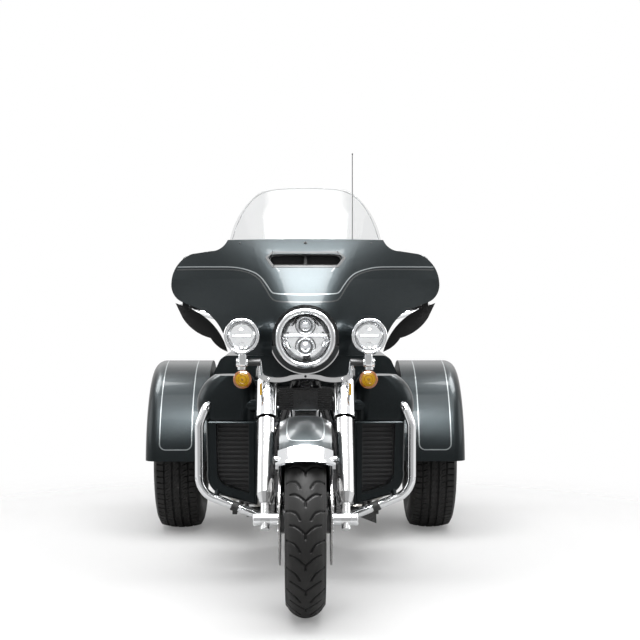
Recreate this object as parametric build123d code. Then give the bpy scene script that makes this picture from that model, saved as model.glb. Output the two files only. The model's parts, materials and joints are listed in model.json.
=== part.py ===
from build123d import *
import os
from math import cos, radians, sin, tan

# A touring motor trike: one steered wheel ahead, two driven wheels behind.
# Millimetres. +X is the rider's left, +Y runs to the tail, +Z is up.
# The origin is on the ground, under the middle of the overall length.

# Driving sizes of the whole vehicle
OVERALL_LENGTH = 2670.0
WHEELBASE = 1670.0
REAR_TRACK = 1130.0
HEAD_ANGLE = 26.0
FORK_ANGLE = 30.0
TRAIL = 100.0
RUN_GAP = 0.05
SEAT_GAP = 0.3

# Wheels
FRONT_TYRE_R = 319.0
FRONT_TYRE_W = 130.0
FRONT_TYRE_SIDE = 78.0
FRONT_RIM_W = 88.0
FRONT_SPOKES = 9
REAR_TYRE_R = 324.0
REAR_TYRE_W = 206.0
REAR_RIM_R = 190.5
REAR_RIM_W = 166.0
REAR_SPOKES = 7
RIM_LIP = 9.0
AXLE_R = 12.5
HUB_R = 46.0
DISC_R = 150.0
DISC_T = 5.0
DISC_X = 85.0

# Fork, measured along the leg from the front axle
FORK_X = 134.0
SLIDER_R = 29.0
SLIDER_TOP = 366.0
LUG_R = 15.0
LUG_BELOW = 36.0
AXLE_CAP_R = 21.0
AXLE_CAP_L = 25.0
COVER_R = 36.0
COVER_WALL = 3.0
COVER_TOP = 508.0
FORK_TUBE_R = 24.5
FORK_TUBE_TOP = 676.0
CLAMP_T = 30.0
LOWER_CLAMP_AT = 540.0
UPPER_CLAMP_AT = 652.0
NECK_END_GAP = 6.0
STEM_R = 13.0
NECK_R = 31.0

# Front fender
FENDER_GAP = 27.0
FENDER_W = 168.0
FENDER_CROWN = 24.0
FENDER_SKIRT = 141.0
FENDER_WALL = 3.5
FENDER_FRONT_DEG = 42.0
FENDER_REAR_DEG = 178.0
TIP_WALL = 3.0
TIP_FLARE = 7.0
TIP_REACH = 9.0
TIP_TOP_W = 100.0

# Fairing and lamps, heights above ground
HEADLAMP_Z = 915.0
HEADLAMP_U = 128.0
HEADLAMP_RING_R = 101.0
HEADLAMP_LENS_R = 84.0
RECESS_R = 115.0
FAIRING_WALL = 7.0
VENT_Z = 1186.0
VENT_W = 262.0
VENT_H = 44.0
SCREEN_T = 4.0
SCREEN_TOP_Z = 1460.0
PASSING_X = 218.0
PASSING_Z = 923.0
PASSING_R = 61.0
PASSING_U = 128.0
SIGNAL_X = 216.0
SIGNAL_Z = 774.0
SIGNAL_R = 30.0

# Frame, engine and the pieces on them
RAIL_X = 150.0
RAIL_R = 16.0
RAIL_Z = 215.0
BACKBONE_R = 26.0
SPINE_BEND_U = 404.0
SPINE_BEND_Z = 768.0
SPINE_END_U = 915.0
SPINE_END_Z = 712.0
SEAT_RAIL_Z = 672.0
SEAT_POST_U = 1080.0
ENGINE_U = 800.0
CRANK_Z = 318.0
CASE_W = 236.0
MOUNT_R = 10.0
CYLINDER_LEAN = 22.5
FIN_R = 70.0
FIN_COUNT = 8
TANK_FRONT_U = 432.0
TANK_REAR_U = 850.0
GUARD_R = 16.0
GUARD_U = 448.0
GUARD_X = 388.0
LOWER_U = 474.0
LOWER_DEPTH = 150.0
BOARD_X = 222.0
BOARD_W = 118.0
BOARD_Z = 285.0
MUFFLER_R = 47.0
MUFFLER_X = 300.0
MUFFLER_Z = 224.0

REGULATOR_U = 346.0

# Rear body
BODY_GAP = 38.0
BODY_TOP_Z = 798.0
BODY_FLOOR_Z = 400.0
BODY_WALL = 10.0
BODY_FRONT_V = -250.0
DOOR_T = 22.0
DOOR_SIDE = 104.0
DOOR_LOW_Z = 440.0
DOOR_HIGH_Z = 720.0
DOOR_GAP = 2.0
DOOR_INSET = 16.0
PLATE_HOLES = 178.0
PLATE_HOLE_R = 3.3
PLATE_Z = 600.0
PLATE_RECESS = 9.0
GRIP_RECESS = 16.0
HINGE_R = 6.0
PIN_R = 3.0
BODY_NOSE = 140.0
REAR_FENDER_R = 440.0
REAR_FENDER_W = 264.0
REAR_FENDER_WALL = 14.0
REAR_FENDER_LOW_Z = 354.0
ARCH_GAP = 46.0
CASE_HALF_W = 300.0
CASE_FRONT_V = -20.0
CASE_LENGTH = 540.0
CASE_LOW_Z = 816.0
CASE_SPLIT_Z = 1010.0
CASE_TOP_Z = 1130.0
CASE_WALL = 8.0
CASE_CORNER = 70.0
CASE_EDGE = 58.0
LID_GAP = 2.0
AXLE_TUBE_R = 42.0
ANTENNA_X = 236.0
ANTENNA_INSET = 115.0
ANTENNA_TOP_Z = 1780.0

front_y = FRONT_TYRE_R - OVERALL_LENGTH / 2
rear_y = front_y + WHEELBASE
tail_y = OVERALL_LENGTH / 2
wheel_x = REAR_TRACK / 2
FRONT_RIM_R = FRONT_TYRE_R - FRONT_TYRE_SIDE
FENDER_R = FRONT_TYRE_R + FENDER_GAP
FENDER_SKIRT_R = FENDER_R - FENDER_SKIRT
BODY_HALF_W = wheel_x - REAR_TYRE_W / 2 - BODY_GAP
DOOR_W = 2 * (BODY_HALF_W - DOOR_SIDE)


# Frames of reference and small makers

def fy(u):
    """Distance behind the front axle, as a Y."""
    return front_y + u


def ry(v):
    """Distance behind the rear axle, as a Y."""
    return rear_y + v


def steer_y(z):
    return fy(z * tan(radians(HEAD_ANGLE)) - TRAIL)


steer_dir = Vector(0, sin(radians(HEAD_ANGLE)), cos(radians(HEAD_ANGLE)))
fork_dir = Vector(0, sin(radians(FORK_ANGLE)), cos(radians(FORK_ANGLE)))


def fork_point(x, s):
    return Vector(x, front_y, FRONT_TYRE_R) + fork_dir * s


def fork_plane(x, s):
    """Local Z runs up the leg, local X is across and local Y points back."""
    return Plane(origin=fork_point(x, s), x_dir=(1, 0, 0), z_dir=fork_dir)


def wheel_plane(x, y, z):
    """Local Z is the wheel's own axle, along +X."""
    return Plane(origin=(x, y, z), x_dir=(0, 1, 0), z_dir=(1, 0, 0))


def front_plane(y):
    """Seen from ahead: local X across, local Y up, local Z towards the nose."""
    return Plane(origin=(0, y, 0), x_dir=(1, 0, 0), z_dir=(0, -1, 0))


def side_plane(x):
    """Seen from the left: local X towards the tail, local Y up, local Z along +X."""
    return Plane(origin=(x, 0, 0), x_dir=(0, 1, 0), z_dir=(1, 0, 0))


def rod(start, end, radius):
    a, b = Vector(*start), Vector(*end)
    stand = Cylinder(radius, (b - a).length, align=(Align.CENTER, Align.CENTER, Align.MIN))
    return Plane(origin=a, z_dir=b - a) * stand


def ring(start, end, radius, bore):
    return rod(start, end, radius) - rod(start, end, bore)


def bent_tube(points, bend, radius):
    path = FilletPolyline(*points, radius=bend)
    return sweep(Plane(origin=path @ 0, z_dir=path % 0) * Circle(radius), path=path)


def block(x, y, z):
    """A box from its low and high limits on each axis."""
    size = [high - low for low, high in (x, y, z)]
    middle = [(high + low) / 2 for low, high in (x, y, z)]
    return Pos(*middle) * Box(*size)


def mirrored(shape):
    return mirror(shape, about=Plane.YZ)


def both(shape):
    return shape + mirrored(shape)


def spun(*edges):
    """Turns an outline of radius and axial place into a solid about Z."""
    return revolve(make_face(Plane.XZ * Curve(edges)), Axis.Z)


def dome(radius, edge, top):
    """Arc of a ball's cap, from its edge to the pole on the axis."""
    rise = top - edge
    ball = (radius * radius + rise * rise) / (2 * rise)
    half = radius / 2
    between = top - ball + (ball * ball - half * half) ** 0.5
    return ThreePointArc((radius, edge), (half, between), (0, top))


def around(shape, count):
    return [Rot(0, 0, 360 / count * i) * shape for i in range(count)]


# Wheels

def tyre(radius, width, rim_r, rim_w, tread_w, crown):
    """A tyre's solid of turning, with a seat that clears the rim's lips."""
    bead = rim_w / 2 - RIM_LIP
    lip_out = rim_w / 2
    lip_top = rim_r + RIM_LIP + SEAT_GAP
    shoulder = radius - crown
    swell = lip_top + (shoulder - lip_top) * 0.45
    side = [
        Line((rim_r, bead), (lip_top, bead)),
        Line((lip_top, bead), (lip_top, lip_out)),
        ThreePointArc((lip_top, lip_out), (swell, width / 2), (shoulder, tread_w / 2)),
    ]
    other = [edge.mirror(Plane.XY.rotated((90, 0, 0))) for edge in side]
    tread = ThreePointArc((shoulder, tread_w / 2), (radius, 0), (shoulder, -tread_w / 2))
    seat = Line((rim_r, bead), (rim_r, -bead))
    return spun(*side, *other, tread, seat)


def rim(rim_r, rim_w, depth, hub_r, hub_half, spokes, spoke_w, spoke_t, spoke_at, bore):
    """A cast wheel: barrel with lips, hub and a ring of tapered spokes."""
    bead = rim_w / 2 - RIM_LIP
    inside = rim_r - depth
    half = [(inside, rim_w / 2), (rim_r + RIM_LIP, rim_w / 2),
            (rim_r + RIM_LIP, bead + SEAT_GAP), (rim_r, bead + SEAT_GAP)]
    other = [(r, -x) for r, x in reversed(half)]
    barrel = spun(*Polyline(*half, *other, close=True).edges())
    hub = Cylinder(hub_r, 2 * hub_half)
    root, tip = spoke_w, spoke_w * 0.62
    arm = make_face(Polyline((hub_r * 0.7, -root / 2), (inside + depth / 2, -tip / 2),
                             (inside + depth / 2, tip / 2), (hub_r * 0.7, root / 2), close=True))
    spoke = Pos(0, 0, spoke_at) * extrude(arm, spoke_t / 2, both=True)
    wheel = barrel + hub
    for arm_turned in around(spoke, spokes):
        wheel += arm_turned
    return wheel - Cylinder(bore, 4 * hub_half)


def front_wheel():
    place = wheel_plane(0, front_y, FRONT_TYRE_R)
    hub_half = DISC_X - DISC_T / 2
    cover = place * tyre(FRONT_TYRE_R, FRONT_TYRE_W, FRONT_RIM_R, FRONT_RIM_W,
                         FRONT_TYRE_W * 0.9, FRONT_TYRE_W * 0.26)
    wheel = place * rim(FRONT_RIM_R, FRONT_RIM_W, 18, HUB_R, hub_half, FRONT_SPOKES,
                        34, 26, 0, AXLE_R + RUN_GAP)
    plate = Cylinder(DISC_R, DISC_T) - Cylinder(HUB_R - 14, 2 * DISC_T)
    window = Pos(DISC_R * 0.56, 0, 0) * Cylinder(13, 2 * DISC_T)
    vent = Pos(DISC_R * 0.87, 0, 0) * Cylinder(5, 2 * DISC_T)
    for hole in around(window, 8) + around(vent, 16):
        plate -= hole
    discs = place * (Pos(0, 0, DISC_X) * plate) + place * (Pos(0, 0, -DISC_X) * plate)
    return {"front_tyre": cover, "front_rim": wheel, "front_discs": discs}


def rear_wheel(side):
    """One driven wheel and the stub shaft it turns with. Side is 1 on the left."""
    place = wheel_plane(wheel_x, rear_y, REAR_TYRE_R)
    cover = place * tyre(REAR_TYRE_R, REAR_TYRE_W, REAR_RIM_R, REAR_RIM_W,
                         REAR_TYRE_W * 0.84, 13)
    wheel = place * rim(REAR_RIM_R, REAR_RIM_W, 16, 62, 30, REAR_SPOKES, 58, 28, 34, 10)
    reach = wheel_x - axle_end() + stub_depth()
    wheel += place * (Pos(0, 0, -reach) * Cylinder(axle_bore() - RUN_GAP, reach + 30,
                      align=(Align.CENTER, Align.CENTER, Align.MIN)))
    wheel += place * (Pos(0, 0, -(wheel_x - axle_end() - 6)) * Cylinder(
        112, 12, align=(Align.CENTER, Align.CENTER, Align.MIN)))
    if side < 0:
        cover, wheel = mirrored(cover), mirrored(wheel)
    name = "left" if side > 0 else "right"
    return {f"rear_tyre_{name}": cover, f"rear_rim_{name}": wheel}


def axle_end():
    return wheel_x - REAR_TYRE_W / 2 - 36


def axle_bore():
    return AXLE_TUBE_R * 0.5


def stub_depth():
    return 60.0


# Fork, steering head and front fender

def fork_legs():
    leg = fork_plane(FORK_X, 0)
    stand = (Align.CENTER, Align.CENTER, Align.MIN)
    lug = Pos(0, 0, -LUG_BELOW) * Cylinder(LUG_R, LUG_BELOW + 90, align=stand)
    taper = Pos(0, 0, 56) * Cone(LUG_R + 4, SLIDER_R, 34, align=stand)
    barrel = Pos(0, 0, 90) * Cylinder(SLIDER_R, SLIDER_TOP - 90, align=stand)
    centre = (front_y, FRONT_TYRE_R)
    slider = leg * (lug + taper + barrel)
    slider += rod((FORK_X - LUG_R, *centre), (FORK_X + LUG_R, *centre), AXLE_CAP_R)
    slider -= rod((0, *centre), (2 * FORK_X, *centre), AXLE_R + RUN_GAP)
    stay = FENDER_SKIRT_R + 12
    skirt_x = FENDER_W / 2 + SEAT_GAP
    slider += rod(fork_point(skirt_x, stay), fork_point(FORK_X - SLIDER_R / 2, stay), 9)
    slider += rod(fork_point(skirt_x, stay), fork_point(skirt_x + 6, stay), 16)
    low = SLIDER_TOP + 2
    cover = Pos(0, 0, low) * Cylinder(COVER_R, COVER_TOP - low, align=stand)
    cover -= Pos(0, 0, low + 8) * Cylinder(COVER_R - COVER_WALL, COVER_TOP - low, align=stand)
    cover -= Cylinder(FORK_TUBE_R + SEAT_GAP, 3 * COVER_TOP)
    return {"fork_legs": both(slider), "fork_covers": both(leg * cover)}


def front_axle():
    inner = DISC_X + DISC_T / 2 + 1.5
    ends = FORK_X + LUG_R
    centre = (front_y, FRONT_TYRE_R)
    shaft = rod((-ends, *centre), (ends, *centre), AXLE_R)
    spacer = rod((inner, *centre), (FORK_X - LUG_R - SEAT_GAP, *centre), AXLE_CAP_R)
    cap = rod((ends, *centre), (ends + AXLE_CAP_L, *centre), AXLE_CAP_R)
    cap = fillet(cap.edges().sort_by(Axis.X)[-1], 5)
    return {"front_axle": shaft + both(spacer) + both(cap)}


def clamp_plate(at, ear_r):
    """One fork clamp: two eyes round the tubes and a web to the stem."""
    plate = Box(2 * FORK_X, 62, CLAMP_T)
    for x in (-FORK_X, FORK_X):
        plate += Pos(x, 0, 0) * Cylinder(ear_r, CLAMP_T)
    return fork_plane(0, at) * plate


def steering_point(z):
    return Vector(0, steer_y(z), z)


def neck_span():
    """Heights on the steering axis between the two clamps."""
    lower = fork_point(0, LOWER_CLAMP_AT + CLAMP_T / 2).Z
    upper = fork_point(0, UPPER_CLAMP_AT - CLAMP_T / 2).Z
    return lower + NECK_END_GAP, upper - NECK_END_GAP


def triple_clamps():
    """Both clamps, the stem through the neck and the fork tubes they hold."""
    body = clamp_plate(LOWER_CLAMP_AT, COVER_R + 4) + clamp_plate(UPPER_CLAMP_AT, COVER_R + 2)
    body += rod(steering_point(fork_point(0, LOWER_CLAMP_AT).Z),
                steering_point(fork_point(0, UPPER_CLAMP_AT).Z + CLAMP_T), STEM_R)
    for x in (-FORK_X, FORK_X):
        body += rod(fork_point(x, SLIDER_TOP), fork_point(x, FORK_TUBE_TOP), FORK_TUBE_R)
    return {"fork_clamps": body}


def fender_section(wall, grow, skirt_r):
    """Half outline of the fender's U across the tyre, as radius and axial place."""
    half = FENDER_W / 2 + grow
    top = FENDER_R + grow
    shoulder = top - FENDER_CROWN
    low = skirt_r
    outer = [Line((low, half), (shoulder, half)),
             ThreePointArc((shoulder, half), (top, 0), (shoulder, -half)),
             Line((shoulder, -half), (low, -half))]
    inner = [Line((low, -half), (low, wall - half)),
             Line((low, wall - half), (shoulder, wall - half)),
             ThreePointArc((shoulder, wall - half), (top - wall, 0), (shoulder, half - wall)),
             Line((shoulder, half - wall), (low, half - wall)),
             Line((low, half - wall), (low, half))]
    return make_face(Plane.XZ * Curve([*outer, *inner]))


def fender_turn(face, start, end):
    """Turns a section about the front axle. Angles run from straight ahead, over the top."""
    place = Plane(origin=(0, front_y, FRONT_TYRE_R), x_dir=(0, -1, 0), z_dir=(-1, 0, 0))
    return place * (Rot(0, 0, start) * revolve(face, Axis.Z, end - start))


def front_fender():
    shell_face = fender_section(FENDER_WALL, 0, FENDER_SKIRT_R)
    shell = fender_turn(shell_face, FENDER_FRONT_DEG, FENDER_REAR_DEG)
    tip_face = fender_section(TIP_WALL, TIP_WALL + SEAT_GAP, FENDER_R - FENDER_CROWN - 14)
    tip = fender_turn(tip_face, FENDER_FRONT_DEG - 2, FENDER_FRONT_DEG + TIP_REACH)
    low = FRONT_TYRE_R + FENDER_R * sin(radians(FENDER_FRONT_DEG - 2)) - 40
    high = FRONT_TYRE_R + (FENDER_R + TIP_FLARE) * sin(radians(FENDER_FRONT_DEG + TIP_REACH))
    wide = FENDER_W / 2 + 30
    visor = make_face(Polyline((-wide, low), (wide, low), (wide, low + 62), (TIP_TOP_W / 2, high + 8),
                               (-TIP_TOP_W / 2, high + 8), (-wide, low + 62), close=True))
    tip &= extrude(front_plane(front_y) * visor, 2 * FENDER_R)
    flare = TIP_WALL + TIP_FLARE
    lip_face = fender_section(flare, flare + SEAT_GAP, FENDER_R - FENDER_CROWN - 14)
    tip += fender_turn(lip_face, FENDER_FRONT_DEG - 2, FENDER_FRONT_DEG - 0.4)
    return {"front_fender": shell, "fender_tip": tip}


def calipers():
    """Calipers behind the legs, each a bridge over its disc."""
    at = fork_plane(DISC_X, 0)
    body = Pos(0, 118, 85) * Box(44, 80, 80)
    body = fillet(body.edges().filter_by(Axis.Z), 10)
    ear = Pos(FORK_X - DISC_X - 17, 50, 85) * Box(26, 72, 56)
    centre = (front_y, FRONT_TYRE_R)
    slot = rod((DISC_X - 4.5, *centre), (DISC_X + 4.5, *centre), DISC_R + 4)
    leg = fork_plane(FORK_X, 0) * Cylinder(SLIDER_R + SEAT_GAP, 900)
    return {"brake_calipers": both(at * (body + ear) - slot - leg)}


# Fairing. Columns: height, nose, shoulder half width, shoulder, tip half width, tip.
# Nose, shoulder and tip are distances behind the front axle.
LOWER_FAIRING_TABLE = (
    (830, 172, 118, 200, 340, 336),
    (975, 146, 124, 182, 440, 420),
    (1120, 208, 150, 250, 505, 470),
)
UPPER_FAIRING_TABLE = (
    (1120, 208, 150, 250, 505, 470),
    (1195, 268, 172, 306, 515, 510),
    (1270, 336, 196, 372, 525, 560),
)
FAIRING_BACK_U = 640.0


def plan_section(row, inset, back_u=FAIRING_BACK_U):
    """One level of the fairing: a rounded nose running into two swept wings."""
    z, nose, shoulder_x, shoulder, tip_x, tip = row
    level = Plane.XY.offset(z)
    a, b, c = fy(nose + inset), fy(shoulder + inset), fy(tip + inset)
    back = fy(back_u)
    end_x = tip_x - inset
    bow = ThreePointArc((-shoulder_x, b), (0, a), (shoulder_x, b))
    right = TangentArc((shoulder_x, b), (end_x, c), tangent=bow % 1)
    left = mirror(right, about=Plane.YZ)
    sides = [Line((end_x, c), (end_x, back)), Line((end_x, back), (-end_x, back)),
             Line((-end_x, back), (-end_x, c))]
    return level * make_face(Curve([bow, *right.edges(), *left.edges(), *sides]))


def fairing_mass(inset):
    lower = loft([plan_section(row, inset) for row in LOWER_FAIRING_TABLE])
    upper = loft([plan_section(row, inset) for row in UPPER_FAIRING_TABLE])
    return lower + upper


def fairing_outline():
    """The batwing outline seen from ahead: half of it, then its mirror."""
    half = [
        Line((0, 1262), (281, 1262)),
        ThreePointArc((281, 1262), (300, 1236), (338, 1222)),
        Line((338, 1222), (412, 1213)),
        ThreePointArc((412, 1213), (472, 1168), (490, 1112)),
        ThreePointArc((490, 1112), (479, 1062), (440, 1035)),
        Line((440, 1035), (356, 1003)),
        ThreePointArc((356, 1003), (320, 972), (292, 929)),
        Line((292, 929), (256, 866)),
        ThreePointArc((256, 866), (246, 857), (232, 853)),
        Line((232, 853), (0, 853)),
    ]
    other = [mirror(edge, about=Plane.YZ) for edge in half]
    return make_face(Curve([*half, *other]))


def screen_mass(inset):
    """Everything behind the screen's sheet, which stands inside the fairing's top edge."""
    rows = ((1232, 312, 186, 348, 420, 500), (1480, 490, 200, 524, 430, 640))
    return loft([plan_section(row, inset, 800) for row in rows], ruled=True)


def fairing():
    window = extrude(front_plane(fy(FAIRING_BACK_U)) * fairing_outline(), FAIRING_BACK_U)
    inner = fairing_mass(FAIRING_WALL)
    shell = (fairing_mass(0) - inner) & window
    recess = rod((0, fy(0), HEADLAMP_Z), (0, fy(300), HEADLAMP_Z), RECESS_R)
    low = HEADLAMP_Z - 2 * RECESS_R
    mouth = block((-RECESS_R, RECESS_R), (fy(0), fy(300)), (low, HEADLAMP_Z))
    slot = extrude(front_plane(fy(420)) * (Pos(0, VENT_Z) * SlotOverall(VENT_W, VENT_H)), 420)
    shell = shell - recess - mouth - slot
    rail = (inner - screen_mass(FAIRING_WALL)) & block((-260, 260), (fy(280), fy(520)), (1238, 1260))
    shell += rail
    dash = (inner & window) & block((-600, 600), (fy(448), fy(462)), (1012, 1256))
    gauge_row = ((-66, 1150, 52), (66, 1150, 52), (-150, 1128, 30), (150, 1128, 30))
    dials = [rod((x, fy(462), z), (x, fy(474), z), r) for x, z, r in gauge_row]
    cones = [ring((x, fy(462), 1090), (x, fy(480), 1090), 74, 58) for x in (-268, 268)]
    screen = block((-84, 84), (fy(462), fy(470)), (1030, 1090))
    return {"fairing_shell": shell, "dash_panel": dash, "dash_gauges": Part() + dials + cones + [screen]}


def fairing_vent():
    """Duct behind the fairing's slot, split by one post."""
    back, front = 372, 300
    outer = Pos(0, VENT_Z) * SlotOverall(VENT_W - 1, VENT_H - 1)
    inner = Pos(0, VENT_Z) * SlotOverall(VENT_W - 14, VENT_H - 14)
    duct = extrude(front_plane(fy(back)) * outer, back - front)
    duct -= extrude(front_plane(fy(back - 10)) * inner, back)
    post = VENT_H / 2 - 4
    duct += block((-5, 5), (fy(front + 2), fy(back - 8)), (VENT_Z - post, VENT_Z + post))
    return duct


def windscreen():
    half = [
        Line((0, 1236), (268, 1236)),
        Line((268, 1236), (274, 1262)),
        ThreePointArc((274, 1262), (244, 1352), (196, 1418)),
        ThreePointArc((196, 1418), (158, 1446), (108, 1456)),
        ThreePointArc((108, 1456), (54, SCREEN_TOP_Z - 1), (0, SCREEN_TOP_Z)),
    ]
    outline = make_face(Curve([*half, *[mirror(e, about=Plane.YZ) for e in half]]))
    window = extrude(front_plane(fy(800)) * outline, 800)
    front = FAIRING_WALL + SEAT_GAP
    return {"windscreen": (screen_mass(front) - screen_mass(front + SCREEN_T)) & window}


# Lamps

def headlamp():
    y = fy(HEADLAMP_U)

    def at(shape):
        return Plane(origin=(0, y, HEADLAMP_Z), x_dir=(1, 0, 0), z_dir=(0, -1, 0)) * shape

    trim = spun(Line((HEADLAMP_LENS_R, -40), (HEADLAMP_LENS_R, 0)),
                ThreePointArc((HEADLAMP_LENS_R, 0), (HEADLAMP_LENS_R + 10, 6), (HEADLAMP_RING_R, -10)),
                Line((HEADLAMP_RING_R, -10), (HEADLAMP_RING_R, -40)),
                Line((HEADLAMP_RING_R, -40), (HEADLAMP_LENS_R, -40)))
    lens_r = HEADLAMP_LENS_R - SEAT_GAP
    lens = spun(Line((0, -14), (lens_r, -14)), Line((lens_r, -14), (lens_r, -8)),
                dome(lens_r, -8, 6), Line((0, 6), (0, -14)))
    bowl = Pos(0, 0, -60) * Cylinder(lens_r - SEAT_GAP, 20)
    for z in (HEADLAMP_LENS_R * 0.4, -HEADLAMP_LENS_R * 0.4):
        bowl += Pos(0, z, -40) * Cylinder(30, 30)
        bowl += Pos(0, z, -38) * Sphere(24)
    bowl += Pos(0, 0, -42) * Box(1.7 * lens_r, 10, 20)
    back = Pos(0, 0, -90) * Cylinder(RECESS_R - SEAT_GAP, 36)
    wall = Pos(0, 0, -57.2) * (Cylinder(HEADLAMP_RING_R - 3, 33.8) - Cylinder(lens_r, 40))
    foot = rod((0, y + 100, HEADLAMP_Z - 96), (0, y + 132, HEADLAMP_Z - 104), 16)
    return {"headlamp_ring": at(trim), "headlamp_lens": at(lens),
            "headlamp_reflector": at(bowl), "headlamp_bucket": at(back + wall) + foot}


def passing_lamps():
    y = fy(PASSING_U)
    rim_r = PASSING_R - 10
    shell = spun(Line((0, -72), (18, -72)), ThreePointArc((18, -72), (48, -46), (PASSING_R, -14)),
                 Line((PASSING_R, -14), (PASSING_R, -2)),
                 ThreePointArc((PASSING_R, -2), (PASSING_R - 5, 3), (rim_r, -2)),
                 Line((rim_r, -2), (rim_r, -16)), Line((rim_r, -16), (0, -16)),
                 Line((0, -16), (0, -72)))
    glass_r = rim_r - SEAT_GAP
    glass = spun(Line((0, -15), (glass_r, -15)), Line((glass_r, -15), (glass_r, -4)),
                 dome(glass_r, -4, 3), Line((0, 3), (0, -15)))
    place = Plane(origin=(PASSING_X, y, PASSING_Z), x_dir=(1, 0, 0), z_dir=(0, -1, 0))
    bar_y, bar_z = y + 32, SIGNAL_Z + 58
    post = rod((PASSING_X, bar_y, PASSING_Z - PASSING_R + 12), (PASSING_X, bar_y, bar_z), 11)
    post += rod((PASSING_X - 19, bar_y, bar_z), (PASSING_X + 19, bar_y, bar_z), 17)
    bracket_y, bracket_z = bracket_front()
    post += rod((PASSING_X - 15, bar_y, bar_z), (FORK_X + 24, bar_y, bar_z), 9)
    post += rod((FORK_X + 24, bar_y, bar_z + 6), (FORK_X + 20, bracket_y - 10, bracket_z + 27), 9)
    post += rod((FORK_X + 20, bracket_y - 20, bracket_z + 27), (FORK_X + 20, bracket_y, bracket_z + 27), 11)
    return place * shell + post, place * glass


def signal_lamps():
    y = fy(PASSING_U) + 22
    place = Plane(origin=(SIGNAL_X, y, SIGNAL_Z), x_dir=(1, 0, 0), z_dir=(0, -1, 0))
    shell = spun(Line((0, -52), (10, -52)), ThreePointArc((10, -52), (24, -36), (SIGNAL_R, -6)),
                 Line((SIGNAL_R, -6), (0, -6)), Line((0, -6), (0, -52)))
    lens_r = SIGNAL_R
    lens = spun(Line((0, -6), (lens_r, -6)), Line((lens_r, -6), (lens_r - 1, 2)),
                dome(lens_r - 1, 2, 12), Line((0, 12), (0, -6)))
    stalk = rod((SIGNAL_X, y + 16, SIGNAL_Z + SIGNAL_R * 0.5), (SIGNAL_X, y + 10, SIGNAL_Z + 50), 6)
    return place * shell + stalk, place * lens


def front_lamps():
    housing, glass = passing_lamps()
    signal, amber = signal_lamps()
    return {"lamp_housings": both(housing + signal), "passing_lenses": both(glass),
            "signal_lenses": both(amber)}


def fork_trim():
    """Chrome bracket across the fork tops, skirt under the lamp and the dark nacelle panel."""
    front, z = bracket_front()
    span = FORK_X + COVER_R - 6
    bar = make_face(Curve([
        ThreePointArc((-span, z + 16), (-span * 0.55, z + 2), (-42, z + 12)),
        ThreePointArc((-42, z + 12), (0, z + 15), (42, z + 12)),
        ThreePointArc((42, z + 12), (span * 0.55, z + 2), (span, z + 16)),
        Line((span, z + 16), (span, z + 38)),
        ThreePointArc((span, z + 38), (span * 0.6, z + 18), (52, z + 26)),
        ThreePointArc((52, z + 26), (0, z + 30), (-52, z + 26)),
        ThreePointArc((-52, z + 26), (-span * 0.6, z + 18), (-span, z + 38)),
        Line((-span, z + 38), (-span, z + 16))]))
    bracket = extrude(front_plane(front + 14) * bar, 14)
    for x in (-FORK_X, FORK_X):
        bracket += rod((x, front + 12, z + 10), (x, front + 62, z + 10), 9)
    bracket -= clamp_plate(LOWER_CLAMP_AT, COVER_R + 4)
    bracket -= both(fork_plane(FORK_X, 0) * Cylinder(COVER_R + SEAT_GAP, 4 * COVER_TOP))
    top = 853 - SEAT_GAP
    panel = make_face(Polyline((-span + 8, z + 20), (span - 8, z + 20), (span - 8, top),
                               (-span + 8, top), close=True))
    panel = extrude(front_plane(front + 24) * panel, 10 - SEAT_GAP)
    panel -= rod((0, fy(0), HEADLAMP_Z), (0, fy(400), HEADLAMP_Z), RECESS_R)
    skirt = rod((0, fy(170), HEADLAMP_Z), (0, fy(188), HEADLAMP_Z), RECESS_R + 10)
    skirt -= rod((0, fy(150), HEADLAMP_Z), (0, fy(220), HEADLAMP_Z), HEADLAMP_RING_R - 3 + SEAT_GAP)
    low = HEADLAMP_Z - 2 * RECESS_R
    cheek = RECESS_R - SEAT_GAP
    band = block((-140, 140), (fy(150), fy(220)), (low, HEADLAMP_Z - 66))
    skirt &= band + block((-cheek, cheek), (fy(150), fy(220)), (low, HEADLAMP_Z - 28))
    return {"fork_bracket": bracket + skirt, "nacelle_panel": panel}


def wind_deflectors(shell):
    """Dark blades hung under the fairing's wings."""
    blade = make_face(Curve([
        Line((474, 1034), (424, 1016)), ThreePointArc((424, 1016), (335, 953), (284, 856)),
        ThreePointArc((284, 856), (320, 876), (346, 906)),
        ThreePointArc((346, 906), (408, 936), (448, 980)), Line((448, 980), (474, 1034))]))
    plate = extrude(front_plane(fy(448)) * blade, 5)
    tab = block((424, 448), (fy(440), fy(448)), (1004, 1056))
    return {"wind_deflectors": both(plate + tab) - shell}


# Handlebar and mirrors

BAR_R = 12.7
GRIP_R = 17.0
BAR_POINTS = ((438, 790, 1030), (420, 600, 1004), (330, 505, 985), (110, 400, 950))


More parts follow.
